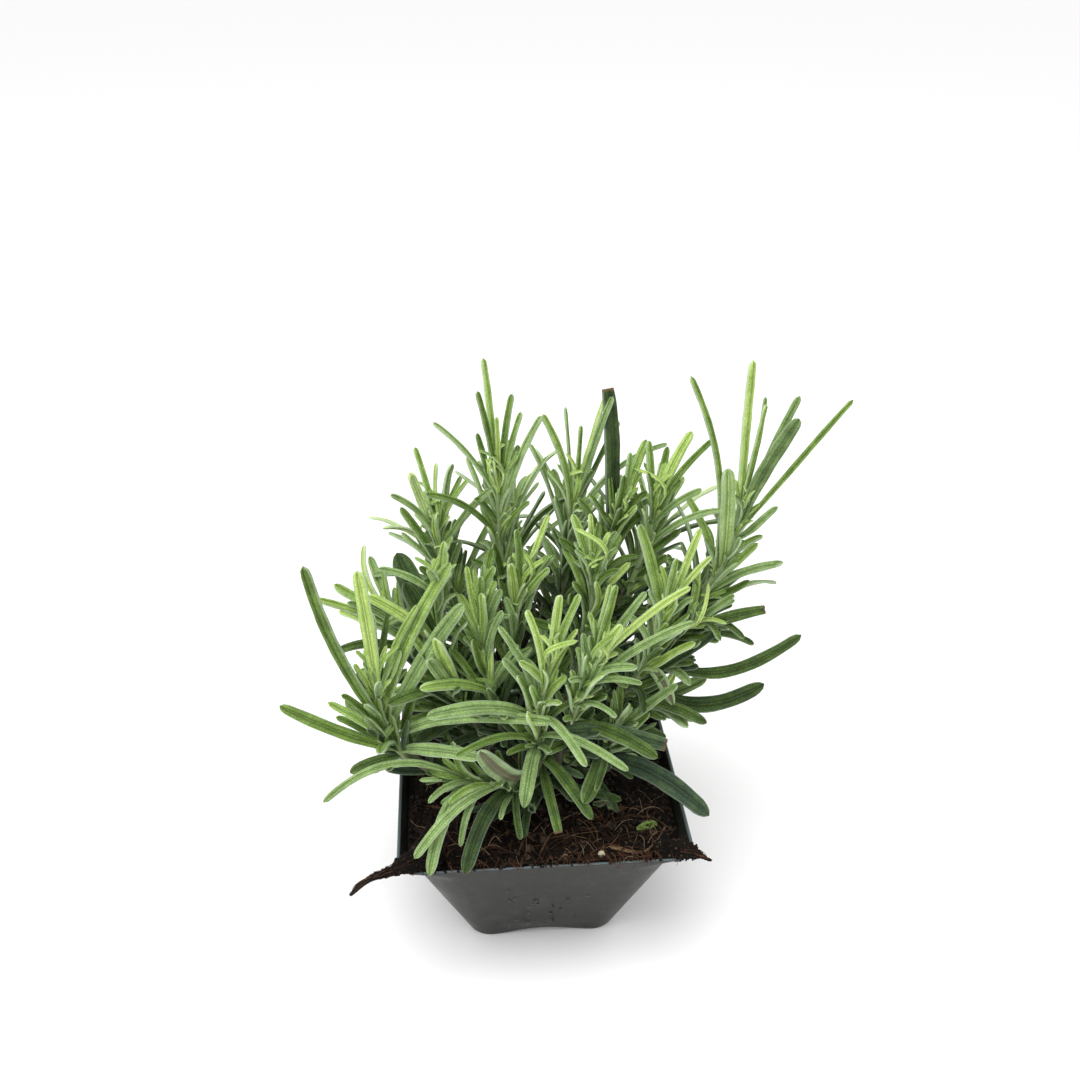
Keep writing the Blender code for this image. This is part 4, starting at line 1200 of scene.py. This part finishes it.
def addTufts(soup, name, line, leaves, draw):
    for leaf in leaves:
        if leaf["place"] < tufts["axilFrom"] or draw.random() > tufts["axilShare"]:
            continue
        middle, along = smooth(line, stemPlace(line, leaf["place"]))
        side = along.cross(leaf["outward"])
        for way in (1, -1):
            heading = along * 0.8 + leaf["outward"] * draw.uniform(0.25, 0.6)
            heading = heading + side * way * draw.uniform(0.15, 0.4)
            length = draw.uniform(*tufts["axilLength"])
            young = youngLeaf(middle + leaf["outward"] * 0.4, along, heading, length,
                              draw.uniform(*tufts["axilWidth"]), name)
            addLeaf(soup, young, "small", draw, draw.choice(axilLooks(name, leaf["place"])))
    top, along = smooth(line, 0.985)
    side, front = sidesOf(along)
    for k in range(tufts["topCount"]):
        turn = k * math.pi / 2 + (k // 4) * 0.8 + draw.uniform(-0.3, 0.3)
        lean = math.radians(draw.uniform(*tufts["topSpread"]))
        heading = along * math.cos(lean) + outAt(side, front, turn) * math.sin(lean)
        young = youngLeaf(top, along, heading, draw.uniform(*tufts["topLength"]),
                          draw.uniform(*tufts["topWidth"]), name)
        addLeaf(soup, young, "small", draw, draw.choice(axilLooks(name, 1.0)))


# The look of a leaf that no table gives: older below, new at the top.
def plainLook(place, draw):
    age = place + draw.uniform(-0.22, 0.22)
    if age < 0.2:
        return draw.choice(("dark", "old", "old", "deep"))
    if age < 0.5:
        return draw.choice(("old", "deep", "olive", "grey"))
    if age < 0.8:
        return draw.choice(("grey", "olive", "grey", "fresh"))
    return draw.choice(("fresh", "new", "lime"))


def buildShoots(lines, leaves, materials):
    for name, line in lines.items():
        draw = random.Random(name)
        soup = newSoup()
        mine = [leaf for leaf in leaves if leaf["shoot"] == name]
        addStem(soup, line, sorted({round(stemPlace(line, leaf["place"]), 3) for leaf in mine}), draw)
        for leaf in mine:
            look = leaf["look"] or plainLook(leaf["place"], draw)
            if leaf["node"] == name:
                addLeaf(soup, leaf, "fine", draw, look)
            else:
                buildOwnLeaf(leaf, line, look, materials)
        addFillers(soup, name, line, draw)
        addBunch(soup, name, line, draw)
        addTufts(soup, name, line, mine, draw)
        pieceFrom(name + "_grown", soup, (materials["leaf"], materials["stem"]), (name,))


# A leaf that is its own node starts on the skin of its stem.
def buildOwnLeaf(leaf, line, look, materials):
    where = stemPlace(line, leaf["place"])
    middle, along = smooth(line, where)
    grown = {**leaf, "base": middle + leaf["outward"] * radiusAt(where) * 0.4}
    grown["at"] = leafLine(grown["base"], leaf["tip"], along, leaf["lift"])
    soup = newSoup()
    addLeaf(soup, grown, "fine", random.Random(leaf["node"]), look)
    pieceFrom(leaf["node"] + "_grown", soup, (materials["leaf"],), (leaf["node"],))


# The pot: a thin square shell with a plain lip, corners that widen below the rim, and a foot arched on each
# side. Small drops of water cling to its front.
potShell = {"straight": 14, "arc": 10, "heights": 16, "lipSteps": 5, "dropCount": 44,
            "dropRadius": (0.15, 0.75), "dropBand": (5.0, 30.0)}


def squareRing(half, corner, level, straight=potShell["straight"], arc=potShell["arc"]):
    ring = []
    flat = half - corner
    for side in range(4):
        turn = Matrix.Rotation(math.pi / 2 * side, 3, "Z")
        for k in range(straight):
            x = -flat + 2 * flat * (k + 0.5) / straight
            ring.append(turn @ Vector((x, -half, level(x / half))))
        for k in range(arc):
            angle = math.pi / 2 * (k + 0.5) / arc
            x = flat + corner * math.sin(angle)
            ring.append(turn @ Vector((x, -flat - corner * math.cos(angle), level(1.0))))
    return ring


# Half width and corner radius of the pot's outside at a height, moved in by an inset.
def potSection(z, inset):
    depth = (potSizes["height"] - z) / potSizes["height"]
    half = potSizes["rimHalf"] + (potSizes["baseHalf"] - potSizes["rimHalf"]) * depth
    if depth < potSizes["shoulderDepth"]:
        turn = math.sin(math.pi / 2 * depth / potSizes["shoulderDepth"])
        corner = potSizes["rimCorner"] + (potSizes["shoulderCorner"] - potSizes["rimCorner"]) * turn
    else:
        share = (depth - potSizes["shoulderDepth"]) / (1 - potSizes["shoulderDepth"])
        corner = potSizes["shoulderCorner"] + (potSizes["baseCorner"] - potSizes["shoulderCorner"]) * share
    return half - inset, max(corner - inset, 1.0)


def footLevel(along):
    return potSizes["footArch"] * math.cos(math.pi / 2 * min(abs(along) / 0.75, 1.0)) ** 2


def potRings():
    wall, height, foot = potSizes["wall"], potSizes["height"], potSizes["footArch"] + 4
    lip = wall / 2
    spots = [foot + (height - lip - foot) * math.sin(math.pi / 2 * k / potShell["heights"])
             for k in range(potShell["heights"] + 1)]
    outer = [squareRing(*potSection(z, 0), lambda along, z=z: z) for z in spots]
    inner = [squareRing(*potSection(z, wall), lambda along, z=z: z) for z in reversed(spots)]
    edge = []
    for k in range(1, potShell["lipSteps"]):
        turn = math.pi * k / potShell["lipSteps"]
        z = height - lip + lip * math.sin(turn)
        edge.append(squareRing(*potSection(z, lip - lip * math.cos(turn)), lambda along, z=z: z))
    reach = potSizes["baseHalf"] - potSizes["footInset"]
    thick = potSizes["floor"]
    corner = potSizes["baseCorner"] / 2
    bend = [squareRing(*potSection(1.2, 0), lambda along: footLevel(along) + 1.2)]
    soles = [squareRing(reach, corner, lambda along: 0.0), squareRing(*potSection(0, 0.9), footLevel),
             squareRing(*potSection(0.35, 0.0), lambda along: footLevel(along) + 0.35)]
    inside = [squareRing(*potSection(0, wall), lambda along: footLevel(along) + thick),
              squareRing(reach, corner, lambda along: thick)]
    return [*soles, *bend, *outer, *edge, *inner, *inside]


def cutDrains(pot):
    place = potSizes["drainPlace"] * mm
    for x, y in ((-1, -1), (1, -1), (1, 1), (-1, 1)):
        sheet = bmesh.new()
        bmesh.ops.create_cone(sheet, cap_ends=True, segments=24, radius1=potSizes["drainRadius"] * mm,
                              radius2=potSizes["drainRadius"] * mm, depth=8 * mm,
                              matrix=Matrix.Translation((x * place, y * place, 0)))
        mesh = bpy.data.meshes.new("drainCutter")
        sheet.to_mesh(mesh)
        sheet.free()
        cutter = bpy.data.objects.new("drainCutter", mesh)
        bpy.context.scene.collection.objects.link(cutter)
        hole = pot.modifiers.new("drain", "BOOLEAN")
        hole.operation = "DIFFERENCE"
        hole.object = cutter
        hole.solver = "EXACT"
        graph = bpy.context.evaluated_depsgraph_get()
        cut = bpy.data.meshes.new_from_object(pot.evaluated_get(graph))
        pot.modifiers.clear()
        pot.data = cut
        bpy.data.objects.remove(cutter)


# A ball squashed along one direction, to a share of its radius, with a rough skin if wanted.
def addBall(soup, middle, radius, squashed, share, draw, sides=8, rough=0.0):
    points, faces = [], []
    up = Vector(squashed)
    side = up.orthogonal().normalized()
    front = up.cross(side)
    rings = max(sides // 2, 3)
    for ring in range(1, rings):
        tilt = math.pi * ring / rings
        for k in range(sides):
            turn = 2 * math.pi * k / sides
            flatPart = (side * math.cos(turn) + front * math.sin(turn)) * math.sin(tilt)
            swell = 1 + (draw.uniform(-rough, rough) if rough else 0.0)
            points.append(middle + (flatPart + up * math.cos(tilt) * share) * radius * swell)
    for ring in range(rings - 2):
        for k in range(sides):
            low = ring * sides
            after = (k + 1) % sides
            faces.append((low + k, low + sides + k, low + sides + after, low + after))
    points += [middle + up * radius * share, middle - up * radius * share]
    top, bottom = len(points) - 2, len(points) - 1
    last = (rings - 2) * sides
    faces += [(k, (k + 1) % sides, top) for k in range(sides)]
    faces += [(last + (k + 1) % sides, last + k, bottom) for k in range(sides)]
    addPart(soup, points, faces, chance=draw.random())


def buildPot():
    soup = newSoup()
    points, faces = loft(potRings())
    addPart(soup, points, faces)
    pot = pieceFrom("pot_shell", soup, (materials["pot"],), ("pot",))
    cutDrains(pot)
    drops = newSoup()
    draw = random.Random(31)
    for _ in range(potShell["dropCount"]):
        z = draw.uniform(*potShell["dropBand"])
        half, corner = potSection(z, 0)
        x = draw.triangular(-1, 1, -0.35) * (half - corner)
        lean = (potSizes["rimHalf"] - potSizes["baseHalf"]) / potSizes["height"]
        slope = Vector((0, -1, -lean)).normalized()
        radius = draw.uniform(*potShell["dropRadius"])
        middle = Vector((x, -half, z)) + slope * radius * 0.15
        addBall(drops, middle, radius, slope, 0.55, draw, sides=12)
    pieceFrom("pot_drops", drops, (materials["drop"],), ())


buildPot()
print("pot made")

# The soil: a block that fills the pot, rough on top, with crumbs, bark, fibres and shed bits on it.
soilBed = {"rings": 66, "straight": 26, "arc": 8, "edgeFall": 0.96, "edgeFrom": 0.93, "crumbs": 5200,
           "crumbRadius": (0.16, 0.75), "clodShare": 0.035, "clodRadius": (0.8, 1.7), "crumbRough": 0.28,
           "chips": 90, "chipLength": (1.2, 4.5),
           "tanFibres": 80, "creamFibres": 36, "rustFibres": 130, "darkFibres": 110}


def soilHeight(x, y):
    rough = noise.noise(Vector((x, y, 0)) * 0.16) + 0.5 * noise.noise(Vector((x, y, 9)) * 0.37)
    return soilSizes["level"] + soilSizes["bump"] * rough


# The soil is heaped at the two front corners: place of the middle, reach and rise.
ears = {"left": (-36.0, -36.0, 6.5, 2.6), "right": (36.6, -36.2, 5.5, 2.0)}
# The route and the half widths of each heap.
earMounds = {
    "left": (((-29, -31, 41.6), (-35.0, -36, 43.6), (-39.4, -39.4, 44.9), (-43.6, -41.6, 45.0),
              (-47.6, -42, 43.8), (-50.2, -42, 41.6), (-51.6, -42, 39.0)),
             (4.8, 3.9, 2.3, 1.2, 0.6, 0.4, 0.2)),
    "right": (((30, -33, 41.6), (35.5, -36, 42.8), (39.4, -38.9, 43.8), (41.5, -40.3, 43.7),
               (43.3, -41.2, 43.3)), (4.6, 3.4, 1.9, 0.8, 0.25)),
}


def soilTop(x, y):
    fine = noise.noise(Vector((x, y, 3)) * 0.9) * 0.45 + noise.noise(Vector((x, y, 5)) * 2.1) * 0.26
    z = soilHeight(x, y) + fine + 1.7 * max(0.0, (max(abs(x), abs(y)) - 31.0) / 8.0) ** 2
    for earX, earY, reach, rise in ears.values():
        near = math.hypot(x - earX, y - earY) / reach
        z += rise * math.exp(-near * near)
    return z


def buildSoil():
    soup = newSoup()
    gap = potSizes["wall"] + soilSizes["gap"]
    half, corner = potSection(soilSizes["level"], gap)
    steps = (soilBed["straight"], soilBed["arc"])
    tops = []
    for ring in range(soilBed["rings"]):
        share = 1 - ring / soilBed["rings"]
        line = squareRing(half * share, max(corner * share, 0.6 * share + 0.01), lambda along: 0.0, *steps)
        fall = soilBed["edgeFall"] * max(0.0, (share - soilBed["edgeFrom"]) / (1 - soilBed["edgeFrom"])) ** 2
        for point in line:
            point.z = soilTop(point.x, point.y) - fall
        tops.append(line)
    sides = []
    for z in (soilSizes["bottom"] + 3, 20, 34, 37.5):
        sides.append(squareRing(*potSection(z, gap), lambda along, z=z: z, *steps))
    bottomHalf = potSection(soilSizes["bottom"], gap)[0] - 1.5
    base = squareRing(bottomHalf, potSizes["baseCorner"], lambda along: soilSizes["bottom"], *steps)
    points, faces = loft([base, *sides, *tops])
    addPart(soup, points, faces, chance=0.5)
    pieceFrom("soil_bed", soup, (materials["soilPeat"],), ("soil",))


bedMargin = 0.9  # between the wall and what lies on the soil


# True inside the pot's wall, whose corners are rounded, by at least a margin.
def onBed(x, y, margin):
    half, corner = potSection(soilSizes["level"], potSizes["wall"] + margin)
    if max(abs(x), abs(y)) > half:
        return False
    return math.hypot(max(abs(x) - half + corner, 0.0), max(abs(y) - half + corner, 0.0)) <= corner


def inPot(draw, margin=bedMargin):
    half = potSizes["rimHalf"] - margin
    while True:
        x, y = draw.uniform(-half, half), draw.uniform(-half, half)
        if onBed(x, y, margin):
            return x, y


# The nearest place to this one, towards the pot's middle, that is inside the wall.
def keptIn(x, y):
    while not onBed(x, y, bedMargin):
        x, y = x * 0.98, y * 0.98
    return x, y


# A crumb's own up, leaning any way.
def anyTilt(draw):
    return Vector((draw.uniform(-1, 1), draw.uniform(-1, 1), draw.uniform(0.3, 1))).normalized()


def addCrumb(soup, middle, radius, tilt, draw):
    addBall(soup, middle, radius, tilt, draw.uniform(0.5, 1.0), draw, sides=6, rough=soilBed["crumbRough"])


def buildCrumbs():
    draw = random.Random(11)
    soup = newSoup()
    for _ in range(soilBed["crumbs"]):
        x, y = inPot(draw)
        radius = draw.triangular(*soilBed["crumbRadius"], soilBed["crumbRadius"][0])
        if draw.random() < soilBed["clodShare"]:
            radius = draw.uniform(*soilBed["clodRadius"])
        middle = Vector((x, y, soilTop(x, y) + radius * draw.uniform(-0.3, 0.7)))
        addCrumb(soup, middle, radius, anyTilt(draw), draw)
    pieceFrom("soil_crumbs", soup, (materials["soilCrumb"],), (), smoothShade=False)


mound = {"rings": 46, "around": 26, "flat": 0.55, "thickest": 1.3, "crumbShare": 0.34, "strands": 44}


# Half width of a mound at a place from 0 to 1 along it.
def widthAt(widths, place):
    return float(np.interp(place * (len(widths) - 1), range(len(widths)), widths))


# A flat lumpy wedge of soil and root lies over the rim at each front corner and narrows to its end.
def buildEars():
    draw = random.Random(17)
    for side, (route, widths) in earMounds.items():
        soup, crumbs = newSoup(), newSoup()
        line = [Vector(point) for point in route]
        rings, around = mound["rings"], mound["around"]
        shape = []
        for ring in range(rings):
            place = ring / (rings - 1)
            middle, way = smooth(line, place)
            width = widthAt(widths, place)
            thick = min(width * mound["flat"], mound["thickest"])
            across = way.cross(Vector((0, 0, 1))).normalized()
            up = across.cross(way)
            for k in range(around):
                turn = 2 * math.pi * k / around
                spot = middle + across * math.cos(turn) * width
                rough = 1 + 0.55 * noise.noise(spot * 0.55) + 0.5 * noise.noise(spot * 1.5)
                out = across * math.cos(turn) * width * rough + up * math.sin(turn) * thick * rough
                point = middle + out
                shape.append(point)
                if draw.random() < mound["crumbShare"]:
                    tilt = anyTilt(draw)
                    addCrumb(crumbs, point, draw.uniform(0.1, 0.12 + 0.09 * width), tilt, draw)
        addPart(soup, shape, skinFaces(rings, around, False), chance=0.35)
        for _ in range(mound["strands"]):
            start = draw.uniform(0.1, 0.75)
            strand = []
            shift = Vector((draw.uniform(-1, 1), draw.uniform(-1, 1), draw.uniform(0.1, 0.7)))
            for k in range(5):
                place = min(start + k * 0.07, 0.98)
                strand.append(smooth(line, place)[0] + shift * widthAt(widths, place) * (0.5 + 0.12 * k))
                wander = (draw.uniform(-0.3, 0.3), draw.uniform(-0.3, 0.3), draw.uniform(-0.2, 0.2))
                shift = shift + Vector(wander)
            radius = draw.uniform(0.08, 0.2)
            addStrand(soup, strand, (radius, 0.04), draw, rings=10, slot=draw.choice((1, 1, 2)))
        finish = "rootDark" if side == "left" else "fibreRust"
        finishes = (materials["soilPeat"], materials[finish], materials["fibreRust"])
        pieceFrom("soil_mound_" + side, soup, finishes, ())
        pieceFrom("mound_crumbs_" + side, crumbs, (materials["soilCrumb"],), (), smoothShade=False)


# Fibres and crumbs that hang over the front of the rim. The fall is a fibre's way over it, as y and z.
rimBits = {"fibres": 70, "crumbs": 260, "reach": 36.0,
           "fall": ((-35.5, 42.4), (-37.8, 43.3), (-39.6, 43.5), (-40.5, 42.9), (-41.0, 41.8))}


def buildRimBits():
    draw = random.Random(18)
    soup, crumbs = newSoup(), newSoup()
    edge = potSizes["rimHalf"]
    for _ in range(rimBits["fibres"]):
        x = draw.triangular(-rimBits["reach"], rimBits["reach"], 30)
        line = []
        for y, z in rimBits["fall"]:
            x += draw.uniform(-1.2, 1.2)
            line.append(Vector((x, y, z + draw.uniform(0.0, 0.4))))
        line = line[:draw.choice((3, 4, 4, 5))]
        addStrand(soup, line, (draw.uniform(0.06, 0.13), 0.05), draw, rings=12)
    for _ in range(rimBits["crumbs"]):
        x = draw.uniform(-rimBits["reach"], rimBits["reach"])
        y = draw.uniform(-edge, -edge + 3.2)
        radius = draw.uniform(0.12, 0.5)
        z = potSizes["height"] - 0.1 if y < -edge + 1.2 else soilTop(x, y)
        addCrumb(crumbs, Vector((x, y, z + radius * 0.5)), radius, anyTilt(draw), draw)
    pieceFrom("rim_fibres", soup, (materials["fibreRust"],), ())
    pieceFrom("rim_crumbs", crumbs, (materials["soilCrumb"],), (), smoothShade=False)


def addChip(soup, middle, length, draw):
    turn = Matrix.Rotation(draw.uniform(0, 6.28), 3, "Z")
    turn = turn @ Matrix.Rotation(draw.uniform(-0.35, 0.35), 3, "Y")
    wide, thick = length * draw.uniform(0.25, 0.5), draw.uniform(0.25, 0.6)
    points = []
    for x in (-0.5, 0.0, 0.5):
        for y, z in ((-0.5, -0.5), (0.5, -0.5), (0.5, 0.5), (-0.5, 0.5)):
            jitter = Vector((draw.uniform(-0.12, 0.12) * length, draw.uniform(-0.15, 0.15) * wide, 0))
            corner = Vector((x * length, y * wide * (1.2 - abs(x)), z * thick))
            points.append(middle + turn @ (corner + jitter))
    addPart(soup, points, skinFaces(3, 4, False), chance=draw.random())


def buildChips():
    draw = random.Random(12)
    soup = newSoup()
    for _ in range(soilBed["chips"]):
        x, y = inPot(draw, 3.0)
        length = draw.triangular(*soilBed["chipLength"], soilBed["chipLength"][0])
        addChip(soup, Vector((x, y, soilTop(x, y) + 0.45)), length, draw)
    pieceFrom("bark_chips", soup, (materials["barkChip"],), (), smoothShade=False)


# A thin strand along points, as a closed tube.
def addStrand(soup, line, radii, draw, rings=None, sides=5, slot=0):
    rings = rings or max(3 * len(line), 6)
    points = []
    for ring in range(rings):
        place = ring / (rings - 1)
        middle, way = smooth(line, place)
        side = way.cross(Vector((0.3, 1, 0.1))).normalized()
        front = way.cross(side)
        radius = radii[0] + (radii[1] - radii[0]) * place
        for k in range(sides):
            turn = 2 * math.pi * k / sides
            points.append(middle + outAt(side, front, turn) * radius)
    addPart(soup, points, skinFaces(rings, sides, False), slot, chance=draw.random())


# A fibre wanders over the soil from a start, now and then lifting off it in a loop.
def addFibre(soup, x, y, heading, length, radius, lift, draw):
    line = []
    steps = max(int(length / 2.2), 3)
    bend = draw.uniform(-0.18, 0.18)
    for k in range(steps + 1):
        rise = lift * math.sin(math.pi * k / steps) * draw.uniform(0.7, 1.2)
        line.append(Vector((x, y, soilTop(x, y) + radius + 0.25 + rise)))
        heading += bend + draw.uniform(-0.22, 0.22)
        x, y = keptIn(x + length / steps * math.cos(heading), y + length / steps * math.sin(heading))
    addStrand(soup, line, (radius, radius * 0.6), draw)


# Kinds of fibre, as (piece, finish, amount, length, radius, lift off the soil).
fibreKinds = (
    ("fibres_tan", "fibreTan", "tanFibres", (3.0, 12.0), (0.045, 0.10), (0.2, 2.2)),
    ("fibres_cream", "fibreCream", "creamFibres", (3.0, 9.0), (0.04, 0.07), (0.5, 3.0)),
    ("fibres_rust", "fibreRust", "rustFibres", (3.0, 12.0), (0.05, 0.16), (0.1, 1.4)),
    ("fibres_dark", "rootDark", "darkFibres", (4.0, 14.0), (0.08, 0.24), (0.1, 1.8)),
)


def buildFibres():
    draw = random.Random(13)
    for name, finish, amount, lengths, radii, lifts in fibreKinds:
        soup = newSoup()
        for k in range(soilBed[amount]):
            if k % 3 == 0:
                x, y = inPot(draw, 4.0)
            else:
                x, y = keptIn(draw.triangular(-34, 37, 28), draw.triangular(-38, -8, -36))
            addFibre(soup, x, y, draw.uniform(0, 6.28), draw.uniform(*lengths), draw.uniform(*radii),
                     draw.uniform(*lifts), draw)
        pieceFrom(name, soup, (materials[finish],), ())


# Dead twigs in the back half of the plant: the turn, in radians, runs from its right, behind, to its left.
deadTwigs = {"count": 90, "length": (14.0, 58.0), "radius": (0.25, 0.75), "spread": 27.0,
             "turn": (-0.1, 3.24)}


def buildTwigs():
    draw = random.Random(14)
    soup = newSoup()
    for _ in range(deadTwigs["count"]):
        turn = draw.uniform(*deadTwigs["turn"])
        reach = draw.uniform(2.0, deadTwigs["spread"])
        base = crown + Vector((math.cos(turn) * 3, math.sin(turn) * 3, 2))
        length = draw.uniform(*deadTwigs["length"])
        top = base + Vector((math.cos(turn) * reach, math.sin(turn) * reach, length))
        bend = base.lerp(top, 0.5) + Vector((draw.uniform(-4, 4), draw.uniform(-4, 4), 0))
        radius = draw.uniform(*deadTwigs["radius"])
        addStrand(soup, (base, bend, top), (radius, radius * 0.45), draw, rings=12, sides=6)
    pieceFrom("dead_twigs", soup, (materials["deadTwig"],), ())


buildSoil()
buildCrumbs()
buildChips()
buildFibres()
buildEars()
buildRimBits()
buildTwigs()
print("soil made")

# Loose pieces: the routes of roots, where a height of None lies on the soil, with their end radii, number of
# strands and finish.
looseGap = 0.5
strands = {
    "root_left": (((-31, -21, None), (-35, -30, 42), (-39.6, -39.8, 44.6), (-46.6, -42, 44.0),
                   (-51.8, -42, 39)), (0.9, 0.3), 16, "rootDark"),
    "root_right": (((33, -31, None), (37, -35, 42.2), (40.4, -39.6, 43.9), (43, -41, 43.4)),
                   (0.35, 0.2), 4, "rootDark"),
    "root_fibre": (((18, -31, None), (26, -33, None), (31, -29, None), (34, -24, None)),
                   (0.35, 0.25), 4, "fibreTan"),
}
# Shed leaves, as (start, end, width, look).
flatLeaves = {"fallen_leaf": ((26, -24), (32, -22.5), 2.2, "olive"),
              "leaf_scrap": ((15, -13), (22, -14), 2.6, "dead")}
grain = {"place": (15, -34), "radius": 1.0, "sink": 0.5}


def onSoil(x, y, rise):
    return Vector((x, y, soilHeight(x, y) + looseGap + rise))


# Each root is a bundle of strands, widest at its start.
def buildRoots():
    draw = random.Random(15)
    for name, (route, radii, hairs, finish) in strands.items():
        soup = newSoup()
        line = [onSoil(x, y, radii[0]) if z is None else Vector((x, y, z)) for x, y, z in route]
        for hair in range(hairs):
            turn = 2 * math.pi * hair / hairs
            off = Vector((math.cos(turn), 0.3 * math.sin(turn), math.sin(turn)))
            spread = radii[0] * (draw.uniform(0.4, 1.5) if hair else 0.0)
            mine = []
            for k, point in enumerate(line):
                rise = Vector((0, 0, draw.uniform(-0.15, 0.15)))
                mine.append(point + off * spread * (1 - 0.75 * k / (len(line) - 1)) + rise)
            share = draw.uniform(0.42, 0.62)
            addStrand(soup, mine, (radii[0] * share, radii[1] * share), draw, rings=26, sides=7)
        pieceFrom(name + "_bundle", soup, (materials[finish],), (name,))


def buildShed():
    for name, (start, end, width, look) in flatLeaves.items():
        base = onSoil(*start, leafThickness / 2)
        tip = onSoil(*end, leafThickness / 2)
        way = (tip - base).normalized()
        leaf = {"node": name, "base": base, "tip": tip, "along": Vector((0, 0, 1)), "outward": way,
                "width": width, "at": leafLine(base, tip, way, 0.3)}
        soup = newSoup()
        addLeaf(soup, leaf, "fine", random.Random(name), look)
        pieceFrom(name + "_lying", soup, (materials["leaf"],), (name,))
    soup = newSoup()
    middle = onSoil(*grain["place"], grain["radius"] - grain["sink"])
    addBall(soup, middle, grain["radius"], (0.3, 0.1, 0.95), 0.92, random.Random(16), sides=20, rough=0.015)
    pieceFrom("cream_grain", soup, (materials["creamGrain"],), ("grain",))


stump = {"heights": 14, "around": 28, "rough": 0.14}


def buildCrown():
    rings = []
    for k in range(stump["heights"] + 1):
        share = k / stump["heights"] * (len(crownProfile) - 1)
        low = min(int(share), len(crownProfile) - 2)
        t = share - low
        (z0, r0), (z1, r1) = crownProfile[low:low + 2]
        z, radius = z0 + (z1 - z0) * t, r0 + (r1 - r0) * t
        ring = []
        for step in range(stump["around"]):
            turn = 2 * math.pi * step / stump["around"]
            out = Vector((math.cos(turn), math.sin(turn), 0))
            rough = noise.noise(out * 2.2 + Vector((0, 0, z * 0.25)))
            ring.append(crown + out * radius * (1 + stump["rough"] * rough) + Vector((0, 0, z)))
        rings.append(ring)
    soup = newSoup()
    points, faces = loft(rings)
    addPart(soup, points, faces, chance=0.5)
    pieceFrom("crown_stump", soup, (materials["crownBark"],), ("crown",))


buildRoots()
buildShed()
buildCrown()
print("roots, shed bits and crown made")

plantLines, plantLeaves = plantPlan()
print("plant planned:", len(plantLeaves), "leaves")
buildShoots(plantLines, plantLeaves, materials)
print("shoots grown")

# White surroundings and a pale floor, with a broad soft lamp above and a weaker one at the left: each lamp
# has its place, size and power.
studio = {"sky": 1.0, "floor": (0.96, 0.96, 0.96), "floorReach": 6.0, "aim": (0, 0, 0.08),
          "lamps": {"above": ((-0.15, -0.25, 0.9), (0.6, 0.6), 4.5),
                    "left": ((-0.8, -0.3, 0.5), (0.5, 0.5), 1.2)}}


def buildStudio():
    world = bpy.data.worlds.new("studio")
    world.use_nodes = True
    world.node_tree.nodes["Background"].inputs["Color"].default_value = (1, 1, 1, 1)
    world.node_tree.nodes["Background"].inputs["Strength"].default_value = studio["sky"]
    bpy.context.scene.world = world
    bpy.context.scene.view_settings.view_transform = "Standard"
    reach = studio["floorReach"]
    corners = [(-reach, -reach, 0), (reach, -reach, 0), (reach, reach, 0), (-reach, reach, 0)]
    mesh = bpy.data.meshes.new("floor")
    mesh.from_pydata(corners, [], [(0, 1, 2, 3)])
    floor = bpy.data.objects.new("floor", mesh)
    bpy.context.scene.collection.objects.link(floor)
    finish = paint("floorWhite", 0.9, Base_Color=(*studio["floor"], 1.0), Specular_IOR_Level=0.1)[0]
    mesh.materials.append(finish)
    for name, (place, size, power) in studio["lamps"].items():
        lamp = bpy.data.lights.new(name, "AREA")
        lamp.shape = "RECTANGLE"
        lamp.size, lamp.size_y = size
        lamp.energy = power
        thing = bpy.data.objects.new(name, lamp)
        thing.location = place
        thing.rotation_euler = (Vector(studio["aim"]) - Vector(place)).to_track_quat("-Z", "Y").to_euler()
        bpy.context.scene.collection.objects.link(thing)


buildStudio()
print("studio lit")
